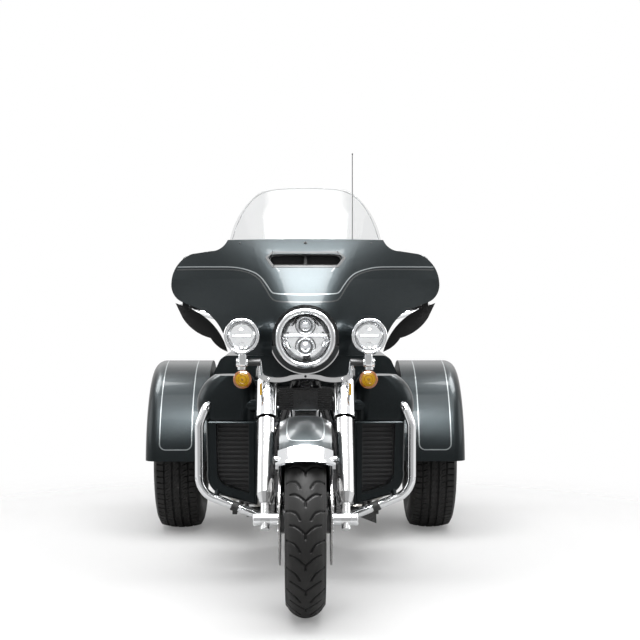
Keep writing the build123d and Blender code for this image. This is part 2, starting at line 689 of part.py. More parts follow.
def handlebar():
    half = [Vector(x, fy(u), z) for x, u, z in BAR_POINTS]
    points = half + [Vector(-p.X, p.Y, p.Z) for p in reversed(half)]
    bar = bent_tube(points, [40, 60, 60, 60, 60, 40], BAR_R)
    clamp = clamp_plate(UPPER_CLAMP_AT, COVER_R + 2)
    clamp_top = fork_point(0, UPPER_CLAMP_AT)
    for x in (-55, 55):
        bar += rod((x, clamp_top.Y, clamp_top.Z), (x, half[-1].Y, half[-1].Z), 15)
    end, inner = half[0], half[1]
    along = (inner - end).normalized()
    grip = rod(end, end + along * 125, GRIP_R) - rod(end - along * 50, end + along * 300, BAR_R + 0.1)
    housing = rod(end + along * 126, end + along * 172, 24)
    lever_root = end + along * 150 + Vector(36, 0, 0)
    lever_end = end + along * 10 + Vector(48, 0, -6)
    housing += rod(end + along * 150 + Vector(15, 0, 0), lever_root, 10)
    housing += rod(lever_root, lever_end, 6) + Pos(*lever_root) * Sphere(11)
    housing += Pos(*(end + along * 160 + Vector(-6, -18, 34))) * Box(44, 62, 28)
    housing -= rod(end - along * 50, end + along * 300, BAR_R + 0.1)
    return {"handlebar": bar - clamp, "bar_controls": both(grip + housing)}


def mirrors():
    outline = Pos(388, 1180) * Rot(0, 0, -10) * RectangleRounded(148, 82, 36)
    body = extrude(front_plane(fy(566)) * outline, 34)
    body = fillet(body.faces().sort_by(Axis.Y)[0].edges(), 14)
    stalk = rod((378, fy(462), 1168), (378, fy(545), 1168), 9)
    return {"mirrors": both(body + stalk)}


# Frame, engine and drive

def frame():
    low, high = neck_span()
    middle = steering_point((low + high) / 2)
    tubes = rod(steering_point(low), steering_point(high), NECK_R)
    bend = (0, fy(SPINE_BEND_U), SPINE_BEND_Z)
    spine_end = (0, fy(SPINE_END_U), SPINE_END_Z)
    tubes += rod(middle, bend, 22) + rod(bend, spine_end, BACKBONE_R)
    rear_z = 430
    for side in (1, -1):
        x = RAIL_X * side
        tubes += bent_tube([(side * 14, middle.Y + 16, middle.Z - 12), (side * 96, fy(470), 560),
                            (x, fy(500), RAIL_Z), (x, fy(1190), RAIL_Z), (x, fy(1240), rear_z),
                            (side * 110, fy(SEAT_POST_U), SEAT_RAIL_Z)], [60, 60, 70, 60], RAIL_R)
        tubes += rod((side * 110, fy(SPINE_END_U - 20), SEAT_RAIL_Z),
                     (side * 110, ry(BODY_FRONT_V), SEAT_RAIL_Z), RAIL_R)
        tubes += rod(spine_end, (side * 110, fy(SPINE_END_U + 10), SEAT_RAIL_Z), RAIL_R)
    for u in (540, 1170):
        tubes += rod((-RAIL_X, fy(u), RAIL_Z), (RAIL_X, fy(u), RAIL_Z), RAIL_R - 3)
    bore = rod(steering_point(low - 60), steering_point(high + 60), STEM_R + RUN_GAP)
    return {"frame": tubes - bore}


def cylinder_frame(lean):
    """Local Z runs up one leaning cylinder from the crank."""
    return Plane(origin=(0, fy(ENGINE_U), CRANK_Z), x_dir=(1, 0, 0),
                 z_dir=(0, sin(radians(lean)), cos(radians(lean))))


def engine():
    stand = (Align.CENTER, Align.CENTER, Align.MIN)
    half = CASE_W / 2
    case = block((-half, half), (fy(ENGINE_U - 150), fy(ENGINE_U + 150)), (CRANK_Z - 130, CRANK_Z + 100))
    case = fillet(case.edges().filter_by(Axis.X), 60)
    gearbox = block((16 - half, half - 16), (fy(ENGINE_U + 130), fy(ENGINE_U + 350)),
                    (CRANK_Z - 100, CRANK_Z + 84))
    gearbox = fillet(gearbox.edges().filter_by(Axis.X), 40)
    cam_at = (fy(ENGINE_U - 10), CRANK_Z + 12)
    cam = rod((-half - 30, *cam_at), (-half, *cam_at), 90)
    cam = fillet(cam.edges().sort_by(Axis.X)[0], 14)
    barrels, covers = Part(), Part()
    for lean in (-CYLINDER_LEAN, CYLINDER_LEAN):
        up = cylinder_frame(lean)
        barrel = Pos(0, 0, 112) * Cylinder(42, 218, align=stand)
        for i in range(FIN_COUNT):
            barrel += Pos(0, 0, 186 + i * 11) * Cylinder(FIN_R, 5, align=stand)
        barrel += Pos(0, 0, 276) * Box(1.5 * FIN_R, 1.5 * FIN_R, 46, align=stand)
        for i in range(5):
            barrel += Pos(0, 0, 276 + i * 10) * Box(1.9 * FIN_R, 1.9 * FIN_R, 5, align=stand)
        barrels += up * barrel
        cover = Pos(0, 0, 330) * Box(1.84 * FIN_R, 1.84 * FIN_R, 40, align=stand)
        cover = fillet(cover.edges().filter_by(Axis.Z), 22)
        cover = fillet(cover.faces().sort_by(Axis.Z)[-1].edges(), 12)
        covers += up * cover
    mount_at = (fy(ENGINE_U - 90), RAIL_Z + 6)
    mounts = rod((-RAIL_X, *mount_at), (RAIL_X, *mount_at), MOUNT_R)
    return {"engine_case": case + gearbox + cam + mounts, "cylinders": barrels - case,
            "rocker_covers": covers}


def primary_cover():
    """Long chain case on the left, a stadium with a rolled edge."""
    x = CASE_W / 2
    a, b = fy(ENGINE_U), fy(ENGINE_U + 270)
    plan = Pos((a + b) / 2, CRANK_Z + 8) * SlotOverall(b - a + 176, 176)
    cover = extrude(side_plane(x) * plan, 92)
    cover = fillet(cover.faces().sort_by(Axis.X)[-1].edges(), 22)
    derby = rod((x + 90, b, CRANK_Z + 8), (x + 97, b, CRANK_Z + 8), 58)
    return {"engine_covers": cover + derby}


def air_cleaner():
    x = -FIN_R - 8
    centre = (fy(ENGINE_U), CRANK_Z + 236)
    plate = rod((x, *centre), (x - 22, *centre), 84)
    dome_end = rod((x - 22, *centre), (x - 92, *centre), 78)
    dome_end = fillet(dome_end.edges().sort_by(Axis.X)[0], 30)
    for aside in (-72, 72):
        stud = (centre[0] + aside, centre[1] + 38)
        plate += rod((x - 1, *stud), (SEAT_GAP - 0.95 * FIN_R - 0.5, *stud), 8)
    return {"air_cleaner": plate + dome_end + rod((x - 1, *centre), (0, *centre), 20)}


def exhaust():
    x = -(RAIL_X + RAIL_R + 26)
    start = (cylinder_frame(-CYLINDER_LEAN) * Pos(-30, -FIN_R - 2, 296)).position
    rear = (cylinder_frame(CYLINDER_LEAN) * Pos(-FIN_R, 0, 298)).position
    run_z = RAIL_Z + 48
    cross_y, cross_z = fy(1120), 160
    pipes = bent_tube([start, (start.X, start.Y - 40, start.Z - 16), (-136, fy(600), 500),
                       (-166, fy(652), 340), (x, fy(ENGINE_U - 65), run_z), (x, cross_y - 40, run_z),
                       (-MUFFLER_X, cross_y + 90, MUFFLER_Z), (-MUFFLER_X, cross_y + 150, MUFFLER_Z)],
                      [28, 40, 50, 50, 50, 40], 21)
    pipes += bent_tube([rear, (x - 4, rear.Y + 6, rear.Z - 20), (x - 4, rear.Y + 10, run_z)], 50, 20)
    pipes += bent_tube([(x, cross_y - 60, run_z), (x, cross_y - 20, cross_z), (-x, cross_y, cross_z),
                        (MUFFLER_X, cross_y + 90, MUFFLER_Z), (MUFFLER_X, cross_y + 150, MUFFLER_Z)],
                       [40, 40, 40], 19)
    muffler = rod((MUFFLER_X, cross_y + 150, MUFFLER_Z), (MUFFLER_X, ry(330), MUFFLER_Z), MUFFLER_R)
    muffler = fillet(muffler.edges().sort_by(Axis.Y)[0], 20)
    muffler -= rod((MUFFLER_X, ry(318), MUFFLER_Z), (MUFFLER_X, ry(331), MUFFLER_Z), MUFFLER_R - 5)
    return {"exhaust": pipes, "mufflers": both(muffler)}


# Tank, seat and panels. Columns: distance behind the front axle, half width, low, high, corner.
TANK_TABLE = (
    (TANK_FRONT_U, 96, 730, 806, 34),
    (560, 164, 700, 846, 62),
    (700, 158, 698, 846, 64),
    (TANK_REAR_U, 104, 704, 792, 40),
)


def tank_mass(grow):
    rings = []
    for u, half, low, high, corner in TANK_TABLE:
        face = RectangleRounded(2 * (half + grow), high - low + 2 * grow, corner + grow)
        rings.append(front_plane(fy(u)) * (Pos(0, (low + high) / 2) * face))
    return loft(rings)


def fuel_tank():
    tank = tank_mass(0)
    half = BACKBONE_R + SEAT_GAP
    tunnel_top = SPINE_BEND_Z + BACKBONE_R + 2
    tunnel = block((-half, half), (fy(TANK_FRONT_U - 20), fy(TANK_REAR_U + 20)), (600, tunnel_top))
    strip = block((-44, 44), (fy(TANK_FRONT_U + 60), fy(TANK_REAR_U - 20)), (780, 900))
    console = (tank_mass(9) & strip) - tank
    cap = rod((-82, fy(600), 830), (-82, fy(600), 852), 34) - tank
    return {"fuel_tank": tank - tunnel, "tank_console": console + cap}


def seat():
    low = SEAT_RAIL_Z + RAIL_R + SEAT_GAP
    step = BODY_TOP_Z + SEAT_GAP
    front, end = fy(TANK_REAR_U + 4), ry(CASE_FRONT_V - 52)
    step_y = ry(BODY_FRONT_V - 10)
    outline = make_face(Curve([
        Line((front, low), (step_y - 60, low)), Line((step_y - 60, low), (step_y, step)),
        Line((step_y, step), (end, step)), Line((end, step), (end, step + 62)),
        Line((end, step + 62), (step_y + 20, step + 52)),
        ThreePointArc((step_y + 20, step + 52), (step_y - 60, step + 10), (step_y - 150, low + 74)),
        ThreePointArc((step_y - 150, low + 74), (front + 120, low + 52), (front, low + 92)),
        Line((front, low + 92), (front, low))]))
    pad = extrude(side_plane(0) * outline, 164, both=True)
    bend, spine_end = (0, fy(SPINE_BEND_U), SPINE_BEND_Z), (0, fy(SPINE_END_U), SPINE_END_Z)
    channel = rod(bend, spine_end, BACKBONE_R + 3)
    arms = (fy(SPINE_END_U - 20), fy(SPINE_END_U + 30))
    channel += block((-130, 130), arms, (600, SPINE_END_Z + RAIL_R + 2))
    return {"seat": pad - channel}


def backrest():
    y = ry(CASE_FRONT_V)
    pad = block((-190, 190), (y - 50, y - SEAT_GAP), (CASE_LOW_Z + 70, CASE_LOW_Z + 290))
    pad = fillet(pad.edges().filter_by(Axis.Y), 50)
    pad = fillet(pad.faces().sort_by(Axis.Y)[0].edges(), 20)
    return {"backrest": pad}


def side_covers():
    x = RAIL_X + RAIL_R + SEAT_GAP
    a = fy(ENGINE_U + 190)
    corners = ((0, 480), (60, 470), (300, 430), (330, 560), (250, 664), (20, 650))
    outline = make_face(Polyline(*[(a + u, z) for u, z in corners], close=True))
    outline = fillet(outline.vertices(), 28)
    cover = extrude(side_plane(x) * outline, 14)
    cover += rod((x + 2, a + 170, 551), (RAIL_X - 18, a + 170, 551), 8)
    return {"side_covers": both(cover)}


# Engine guard, lower fairings and foot boards

def engine_guard(frame_tubes):
    """One bright loop a side, coped to the down tubes above and below."""
    x, u = GUARD_X, GUARD_U
    points = [(x - 52, fy(LOWER_U + 70), 664), (x - 24, fy(u + 22), 656), (x, fy(u), 590),
              (x, fy(u), 342), (178, fy(u + 10), 256), (110, fy(u + 38), 240)]
    half = bent_tube(points, [34, 60, 84, 40], GUARD_R)
    return {"engine_guard": both(half) - frame_tubes}


# Leg shield lockers. Columns: height, inner side, outer side, depth.
LOCKER_TABLE = (
    (602, 178, 392, 146),
    (660, 178, 403, 150),
    (720, 182, 386, 138),
    (766, 206, 340, 124),
)

# Foot boards. Columns: distance behind the front axle, length, height, inner side,
# where along it the stays stand, and the stays' height.
BOARD_TABLE = (
    (730, 320, BOARD_Z, BOARD_X, (0.25, 0.75), RAIL_Z + 6),
    (1190, 170, BOARD_Z + 70, BOARD_X + 10, (0.2,), BOARD_Z + 60),
)


def lower_fairing():
    """One leg shield: a bulged locker above an open vent duct."""
    front, back = fy(LOWER_U), fy(LOWER_U + LOWER_DEPTH)
    rings = []
    for z, inner, outer, deep in LOCKER_TABLE:
        face = RectangleRounded(outer - inner, deep, 60)
        rings.append(Plane(origin=((inner + outer) / 2, (front + back) / 2, z)) * face)
    locker = loft(rings)
    side, floor = 178, 602
    duct = make_face(Curve([
        Line((side, floor), (366, floor)), Line((366, floor), (362, 420)),
        ThreePointArc((362, 420), (350, 358), (300, 322)), Line((300, 322), (side, 288)),
        Line((side, 288), (side, floor))]))
    mouth = make_face(Curve([
        Line((208, 590), (330, 590)), Line((330, 590), (326, 424)),
        ThreePointArc((326, 424), (318, 384), (284, 356)), Line((284, 356), (208, 334)),
        Line((208, 334), (208, 590))]))
    body = extrude(front_plane(back) * duct, LOWER_DEPTH)
    body = fillet(body.faces().sort_by(Axis.Y)[0].edges(), 12)
    body -= extrude(front_plane(back + 10) * mouth, LOWER_DEPTH + 40)
    fit = offset(mouth, -SEAT_GAP)
    grille = extrude(front_plane(front + 66) * fit, 16)
    for i in range(14):
        z = 350 + i * 17
        grille -= block((214, 324), (front + 40, front + 58), (z, z + 9))
    core = extrude(front_plane(front + 110) * fit, 34)
    arm_at = (fy(LOWER_U + 28), 656)
    body += rod((150, *arm_at), (side + 70, *arm_at), 25)
    body += rod((158, *arm_at), (166, *arm_at), 28)
    body += rod((326, fy(LOWER_U + 30), 352), (326, fy(GUARD_U), 326), 9)
    return body + locker, grille + core


def lower_fairings():
    body, core = lower_fairing()
    return {"lower_fairings": both(body), "radiators": both(core)}


def foot_boards():
    """Boards on brackets, foot levers, and the parking brake's wedge pedal on the left."""
    boards = Part()
    for u, length, z, x, stays, stay_z in BOARD_TABLE:
        y = fy(u)
        board = block((x, x + BOARD_W), (y, y + length), (z, z + 16))
        board = fillet(board.edges().filter_by(Axis.Z), 26)
        for share in stays:
            stay_y = y + length * share
            board += rod((RAIL_X, stay_y, stay_z), (x + 40, stay_y, stay_z), 9)
            board += rod((x + 32, stay_y, stay_z - 5), (x + 32, stay_y, z + 4), 8)
        boards += board
    y = fy(ENGINE_U - 120)
    lever = rod((RAIL_X, y, RAIL_Z + 4), (RAIL_X + 76, y, RAIL_Z + 4), 8)
    lever += rod((RAIL_X + 70, y + 4, RAIL_Z + 4), (RAIL_X + 84, y - 36, RAIL_Z + 120), 8)
    lever += rod((RAIL_X + 76, y - 36, RAIL_Z + 120), (RAIL_X + 132, y - 36, RAIL_Z + 120), 14)
    wedge = make_face(Polyline((200, 232), (266, 206), (266, 282), (214, 268), close=True))
    pedal = extrude(front_plane(fy(575)) * wedge, 12)
    pedal += rod((RAIL_X, fy(569), RAIL_Z + 10), (222, fy(569), 250), 9)
    return {"foot_boards": both(boards + lever) + pedal}


def regulator():
    """Finned black box on the down tubes, with a raised face."""
    y = fy(REGULATOR_U)
    box = block((-96, 96), (y, y + 34), (652, 730))
    for i in range(9):
        box -= block((-200, 200), (y - 1, y + 12), (658 + i * 8, 662 + i * 8))
    box += block((-44, 44), (y - 12, y + 12), (656, 724))
    for x in (-62, 62):
        box += rod((x, y + 30, 690), (x, y + 58, 690), 7)
    return {"regulator": box}


# Rear axle, suspension and body

def rear_axle():
    end = axle_end() - 12
    centre = (rear_y, REAR_TYRE_R)
    axle = rod((-end, *centre), (end, *centre), AXLE_TUBE_R)
    drum = rod((-82, *centre), (58, *centre), 74)
    axle += fillet(drum.edges().filter_by(GeomType.CIRCLE), 20)
    axle += rod((50, *centre), (96, *centre), 66)
    for side in (1, -1):
        axle += rod((side * (end - 8), *centre), (side * end, *centre), 70)
        axle -= rod((side * (end + 1), *centre), (side * (end - stub_depth() - 4), *centre), axle_bore())
    pivot_y, pivot_z = fy(1216), RAIL_Z + 110
    axle += rod((RAIL_R - RAIL_X, pivot_y, pivot_z), (RAIL_X - RAIL_R, pivot_y, pivot_z), 22)
    for side in (1, -1):
        axle += bent_tube([(side * 100, pivot_y, pivot_z), (side * 100, pivot_y + 84, pivot_z),
                           (side * 190, rear_y - 70, REAR_TYRE_R), (side * 190, rear_y, REAR_TYRE_R)],
                          [60, 60], 24)
    return {"rear_axle": axle}


def body_section(inset):
    """The trunk's outline across: upright sides, sloped shoulders and a flat top."""
    half = BODY_HALF_W - inset
    top = BODY_TOP_Z - inset
    low = BODY_FLOOR_Z + inset
    shoulder = top - 118
    deck = half - 84
    right = [Line((0, low), (half, low)), Line((half, low), (half, shoulder)),
             Line((half, shoulder), (deck + 44, top - 34)),
             ThreePointArc((deck + 44, top - 34), (deck + 26, top - 9), (deck, top)),
             Line((deck, top), (0, top))]
    return make_face(Curve([*right, *[mirror(e, about=Plane.YZ) for e in right]]))


def rear_body():
    front = ry(BODY_FRONT_V)
    back = tail_y - DOOR_T
    mass = extrude(front_plane(back) * body_section(0), back - front)
    load = extrude(front_plane(back - 30) * body_section(BODY_WALL), back - front - 30 - BODY_NOSE)
    half = DOOR_W / 2
    mouth = block((-half, half), (back - 60, back + 10), (DOOR_LOW_Z, DOOR_HIGH_Z))
    body = mass - load - mouth
    gap = DOOR_GAP
    door_z = (DOOR_LOW_Z + gap, DOOR_HIGH_Z - gap)
    door = block((gap - half, half - gap), (back - DOOR_INSET, tail_y), door_z)
    door = fillet(door.edges().filter_by(Axis.Y), 24)
    plate_y = tail_y - PLATE_RECESS
    pocket = front_plane(tail_y + 1) * Pos(0, PLATE_Z) * RectangleRounded(PLATE_HOLES + 44, 136, 16)
    door -= extrude(pocket, PLATE_RECESS + 1)
    grip = front_plane(tail_y + 1) * Pos(0, DOOR_HIGH_Z - 30) * RectangleRounded(150, 26, 12)
    door -= extrude(grip, GRIP_RECESS + 1)
    for x in (-PLATE_HOLES / 2, PLATE_HOLES / 2):
        door -= rod((x, plate_y - 14, PLATE_Z), (x, tail_y + 1, PLATE_Z), PLATE_HOLE_R)
    axis_y, axis_z = door_axis()
    for side in (1, -1):
        a, b, c = side * 150, side * 190, side * 230
        knuckle = rod((a, axis_y, axis_z), (b - side, axis_y, axis_z), HINGE_R)
        knuckle += block(sorted((a, b - side)), (back, axis_y), (axis_z - 3, axis_z + 3))
        body += knuckle + rod((a, axis_y, axis_z), (c, axis_y, axis_z), PIN_R)
        leaf = rod((b, axis_y, axis_z), (c, axis_y, axis_z), HINGE_R)
        leaf += block(sorted((b, c)), (axis_y - 3, axis_y + 3), (axis_z, DOOR_LOW_Z + 12))
        door += leaf - rod((a, axis_y, axis_z), (c + side, axis_y, axis_z), PIN_R + RUN_GAP)
        door -= rod((a, axis_y, axis_z), (b, axis_y, axis_z), HINGE_R + 1)
    return {"rear_body": body, "trunk_door": door}


def rear_fender():
    inner = BODY_HALF_W
    outer = inner + REAR_FENDER_W
    wheel_z = REAR_TYRE_R
    arch_r = REAR_TYRE_R + ARCH_GAP

    def drum(start, end, radius):
        return rod((start, rear_y, wheel_z), (end, rear_y, wheel_z), radius)

    half_disc = drum(inner, outer, REAR_FENDER_R)
    half_disc = fillet(half_disc.edges().sort_by(Axis.X)[-1], 52)
    arch = drum(inner + REAR_FENDER_WALL, outer - REAR_FENDER_WALL, arch_r)
    lip = drum(inner + 60, outer + 60, arch_r - 14)
    hub_way = drum(inner - 60, outer, 120)
    ground = block((inner - 1, outer + 1), (rear_y - 600, rear_y + 600), (-200, REAR_FENDER_LOW_Z))
    return half_disc - arch - lip - hub_way - ground


def tail_lamps():
    back = tail_y - DOOR_T
    lamp = block((DOOR_W / 2 + 18, BODY_HALF_W - 16), (back, back + 18), (500, 660))
    lamp = fillet(lamp.faces().sort_by(Axis.Y)[-1].edges(), 8)
    return {"tail_lamps": both(lamp)}


def top_case():
    a = ry(CASE_FRONT_V)
    b = a + CASE_LENGTH
    w = CASE_HALF_W
    shape = block((-w, w), (a, b), (CASE_LOW_Z, CASE_TOP_Z))
    shape = fillet(shape.edges().filter_by(Axis.Z), CASE_CORNER)
    shape = fillet(shape.faces().sort_by(Axis.Z)[-1].edges(), CASE_EDGE)
    hollow = block((-w + CASE_WALL, w - CASE_WALL), (a + CASE_WALL, b - CASE_WALL),
                   (CASE_LOW_Z + CASE_WALL, CASE_TOP_Z - CASE_WALL))
    hollow = fillet(hollow.edges().filter_by(Axis.Z), CASE_CORNER - CASE_WALL)
    hollow = fillet(hollow.faces().sort_by(Axis.Z)[-1].edges(), CASE_EDGE - CASE_WALL)
    shell = shape - hollow
    above = block((-w - 9, w + 9), (a - 9, b + 9), (CASE_SPLIT_Z - LID_GAP, CASE_TOP_Z + 9))
    below = block((-w - 9, w + 9), (a - 9, b + 9), (CASE_LOW_Z - 9, CASE_SPLIT_Z))
    base, lid = shell - above, shell - below
    x, z = lid_axis()
    for y in (a + 110, b - 190):
        knuckle = rod((x, y, z), (x, y + 39, z), HINGE_R)
        knuckle += block((w - 1, x), (y, y + 39), (z - 14, z - LID_GAP))
        base += knuckle + rod((x, y, z), (x, y + 80, z), PIN_R)
        leaf = rod((x, y + 40, z), (x, y + 80, z), HINGE_R)
        leaf += block((w - 1, x), (y + 40, y + 80), (z + LID_GAP, z + 14))
        lid += leaf - rod((x, y, z), (x, y + 81, z), PIN_R + RUN_GAP)
    rack = Part()
    for x in (-w + 110, w - 110):
        rack += rod((x, a + 40, BODY_TOP_Z + 9), (x, b - 40, BODY_TOP_Z + 9), 8.7)
    return {"top_case": base, "top_case_lid": lid, "case_rack": rack}


def antenna():
    y = tail_y - ANTENNA_INSET
    base = rod((ANTENNA_X, y, BODY_TOP_Z), (ANTENNA_X, y, BODY_TOP_Z + 40), 12)
    mast = rod((ANTENNA_X, y, BODY_TOP_Z + 40), (ANTENNA_X, y, ANTENNA_TOP_Z - 4), 2.2)
    tip = Pos(ANTENNA_X, y, ANTENNA_TOP_Z - 4) * Sphere(4)
    return {"antenna": base + mast + tip}


def bracket_front():
    """Front face and base height of the bright bracket across the fork tops."""
    at = fork_point(0, COVER_TOP)
    return at.Y - COVER_R - 22, at.Z


def door_axis():
    return tail_y - DOOR_T + HINGE_R + 3, DOOR_LOW_Z - HINGE_R - 2


def lid_axis():
    return CASE_HALF_W + HINGE_R + 1, CASE_SPLIT_Z - LID_GAP / 2


def build():
    nodes = {}
    groups = (front_wheel, fork_legs, front_axle, triple_clamps, front_fender, calipers, fairing,
              windscreen, headlamp, front_lamps, fork_trim, handlebar, mirrors, frame, engine,
              primary_cover, air_cleaner, exhaust, fuel_tank, seat, backrest, side_covers,
              lower_fairings, foot_boards, regulator, rear_axle, rear_body,
              tail_lamps, top_case, antenna)
    for group in groups:
        nodes.update(group())
    nodes.update(rear_wheel(1))
    nodes.update(rear_wheel(-1))
    nodes.update(wind_deflectors(nodes["fairing_shell"]))
    nodes.update(engine_guard(nodes["frame"]))
    nodes["headlamp_bucket"] += fairing_vent()
    nodes["rear_fenders"] = both(rear_fender())
    for name, extra in (("fairing_shell", "nacelle_panel"), ("fork_legs", "fork_covers"),
                        ("engine_covers", "rocker_covers"), ("exhaust", "mufflers")):
        nodes[name] += nodes.pop(extra)
    coped = (("engine_case", "frame"), ("foot_boards", "frame"), ("regulator", "frame"),
             ("side_covers", "frame"), ("lower_fairings", "engine_guard"),
             ("headlamp_bucket", "fork_clamps"))
    for name, seat_on in coped:
        nodes[name] -= nodes[seat_on]
    return nodes


os.makedirs("parts", exist_ok=True)
for name, shape in build().items():
    export_step(shape, f"parts/{name}.step")
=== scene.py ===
import json
import math
import bmesh
import bpy
from mathutils import Matrix, Vector
from mathutils.bvhtree import BVHTree

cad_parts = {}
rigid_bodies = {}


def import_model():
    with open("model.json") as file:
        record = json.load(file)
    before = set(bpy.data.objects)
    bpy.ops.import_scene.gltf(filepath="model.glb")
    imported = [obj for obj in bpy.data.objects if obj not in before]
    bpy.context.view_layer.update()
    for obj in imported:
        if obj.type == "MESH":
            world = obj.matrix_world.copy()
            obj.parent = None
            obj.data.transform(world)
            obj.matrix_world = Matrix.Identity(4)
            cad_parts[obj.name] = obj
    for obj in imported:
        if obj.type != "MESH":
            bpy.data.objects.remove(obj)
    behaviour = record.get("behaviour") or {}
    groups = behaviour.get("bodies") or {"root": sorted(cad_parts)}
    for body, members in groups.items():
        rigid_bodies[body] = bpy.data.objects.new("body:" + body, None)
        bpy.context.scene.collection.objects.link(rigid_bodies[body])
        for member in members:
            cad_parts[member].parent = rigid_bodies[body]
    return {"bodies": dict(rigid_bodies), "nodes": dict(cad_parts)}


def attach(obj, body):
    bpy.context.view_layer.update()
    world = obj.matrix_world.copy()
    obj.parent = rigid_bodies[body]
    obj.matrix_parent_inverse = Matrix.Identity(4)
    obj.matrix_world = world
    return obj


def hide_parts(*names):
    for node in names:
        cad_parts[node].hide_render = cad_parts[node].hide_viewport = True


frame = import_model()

nodes = frame["nodes"]
carried = set(nodes.values()) | set(frame["bodies"].values())
for leftOver in [o for o in bpy.data.objects if o not in carried]:
    bpy.data.objects.remove(leftOver)
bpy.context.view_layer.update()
scene = bpy.context.scene
scene.view_settings.view_transform = "Standard"

# places that several pieces share, in metres
trike = {"frontAxle": Vector((0, -1.016, 0.319)), "rearAxle": Vector((0, 0.654, 0.324)),
         "rearWheelX": 0.565}


def behindFront(distance):
    return trike["frontAxle"].y + distance


# camera: it comes first, because lines are laid on the body from the photograph's view
photoView = {"spot": Vector((0.0, -5.266, 1.056)), "lens": 72.34, "down": 1.025, "aside": 0.646,
             "frame": 640, "focal": 1286.0, "mirror": 611.0}
cameraData = bpy.data.cameras.new("photoCamera")
cameraData.lens = photoView["lens"]
cameraData.sensor_width = 36.0
camera = bpy.data.objects.new("photoCamera", cameraData)
scene.collection.objects.link(camera)
camera.location = photoView["spot"]
camera.rotation_euler = (math.radians(90 - photoView["down"]), 0, math.radians(-photoView["aside"]))
scene.camera = camera
lookMatrix = camera.rotation_euler.to_matrix()
print("camera set")


def sightLine(px, py):
    half = photoView["frame"] / 2
    ray = Vector(((px - half) / photoView["focal"], (half - py) / photoView["focal"], -1.0))
    return (lookMatrix @ ray).normalized()


# node trees: a value that is a socket is linked, any other is set
def feed(tree, node, values):
    for label, value in values.items():
        if isinstance(value, bpy.types.NodeSocket):
            tree.links.new(value, node.inputs[label])
        else:
            node.inputs[label].default_value = value
    return node


def addNode(tree, kind, values=None, **settings):
    node = tree.nodes.new(kind)
    for label, value in settings.items():
        setattr(node, label, value)
    return feed(tree, node, values or {})


def addMix(tree, share, low, high):
    return addNode(tree, "ShaderNodeMix", {0: share, 6: low, 7: high}, data_type="RGBA").outputs[2]


def addMath(tree, operation, *values):
    return addNode(tree, "ShaderNodeMath", dict(enumerate(values)), operation=operation).outputs[0]


def addVectorMath(tree, operation, *values, result=0):
    return addNode(tree, "ShaderNodeVectorMath", dict(enumerate(values)), operation=operation).outputs[result]


def addRange(tree, value, low, high, toLow=0.0, toHigh=1.0, **settings):
    return addNode(tree, "ShaderNodeMapRange", {"Value": value, "From Min": low, "From Max": high, "To Min": toLow,
                                                "To Max": toHigh}, **settings).outputs["Result"]


def newGroup(name, kind, inputs):
    group = bpy.data.node_groups.new(name, kind)
    for label, sort, *value in inputs:
        socket = group.interface.new_socket(label, in_out="INPUT", socket_type="NodeSocket" + sort)
        if value:
            socket.default_value = value[0]
    return group, group.nodes.new("NodeGroupInput").outputs


def endGroup(group, results):
    for label, sort, _ in results:
        group.interface.new_socket(label, in_out="OUTPUT", socket_type="NodeSocket" + sort)
    addNode(group, "NodeGroupOutput", {label: socket for label, _, socket in results})
    return group


# shader groups: a soft change of tone with a fine grain, road dust, and flakes for the paint
def toneGrainGroup():
    grey = (0.5, 0.5, 0.5, 1)
    group, given = newGroup("toneAndGrain", "ShaderNodeTree", [
        ("Coords", "Vector"), ("Tone A", "Color", grey), ("Tone B", "Color", grey), ("Tone Scale", "Float", 6.0),
        ("Grain Scale", "Float", 400.0), ("Rough Low", "Float", 0.3), ("Rough High", "Float", 0.4)])
    tone, grain = (addNode(group, "ShaderNodeTexNoise", {
        "Vector": given["Coords"], "Scale": given[scale], "Detail": detail})
        for scale, detail in (("Tone Scale", 4.0), ("Grain Scale", 3.0)))
    share = tone.outputs["Fac"]
    return endGroup(group, [
        ("Color", "Color", addMix(group, share, given["Tone A"], given["Tone B"])),
        ("Roughness", "Float", addRange(group, share, 0.3, 0.7, given["Rough Low"], given["Rough High"])),
        ("Height", "Float", grain.outputs["Fac"])])


def roadDustGroup():
    group, given = newGroup("roadDust", "ShaderNodeTree", [
        ("Coords", "Vector"), ("Color", "Color", (0.1, 0.1, 0.1, 1)), ("Dust", "Color", (0.16, 0.145, 0.125, 1)),
        ("Top", "Float", 0.5), ("Amount", "Float", 0.3)])
    split = addNode(group, "ShaderNodeSeparateXYZ", {0: given["Coords"]})
    patches = addNode(group, "ShaderNodeTexNoise", {"Vector": given["Coords"], "Scale": 22.0, "Detail": 6.0})
    low = addRange(group, split.outputs["Z"], 0.0, given["Top"], 1.0, 0.0)
    share = addMath(group, "MULTIPLY", addMath(group, "MULTIPLY", low, patches.outputs["Fac"]), given["Amount"])
    return endGroup(group, [("Color", "Color", addMix(group, share, given["Color"], given["Dust"]))])


def flakeGroup():
    group, given = newGroup("paintFlakes", "ShaderNodeTree", [
        ("Coords", "Vector"), ("Scale", "Float", 1500.0), ("Deep", "Color", (0.02, 0.03, 0.03, 1)),
        ("Bright", "Color", (0.1, 0.13, 0.13, 1))])
    cells = addNode(group, "ShaderNodeTexVoronoi", {"Vector": given["Coords"], "Scale": given["Scale"]})
    split = addNode(group, "ShaderNodeSeparateColor", {0: cells.outputs["Color"]})
    return endGroup(group, [("Color", "Color", addMix(group, split.outputs[0], given["Deep"], given["Bright"])),
                            ("Height", "Float", split.outputs[1])])


toneGrain, roadDust, paintFlakes = toneGrainGroup(), roadDustGroup(), flakeGroup()


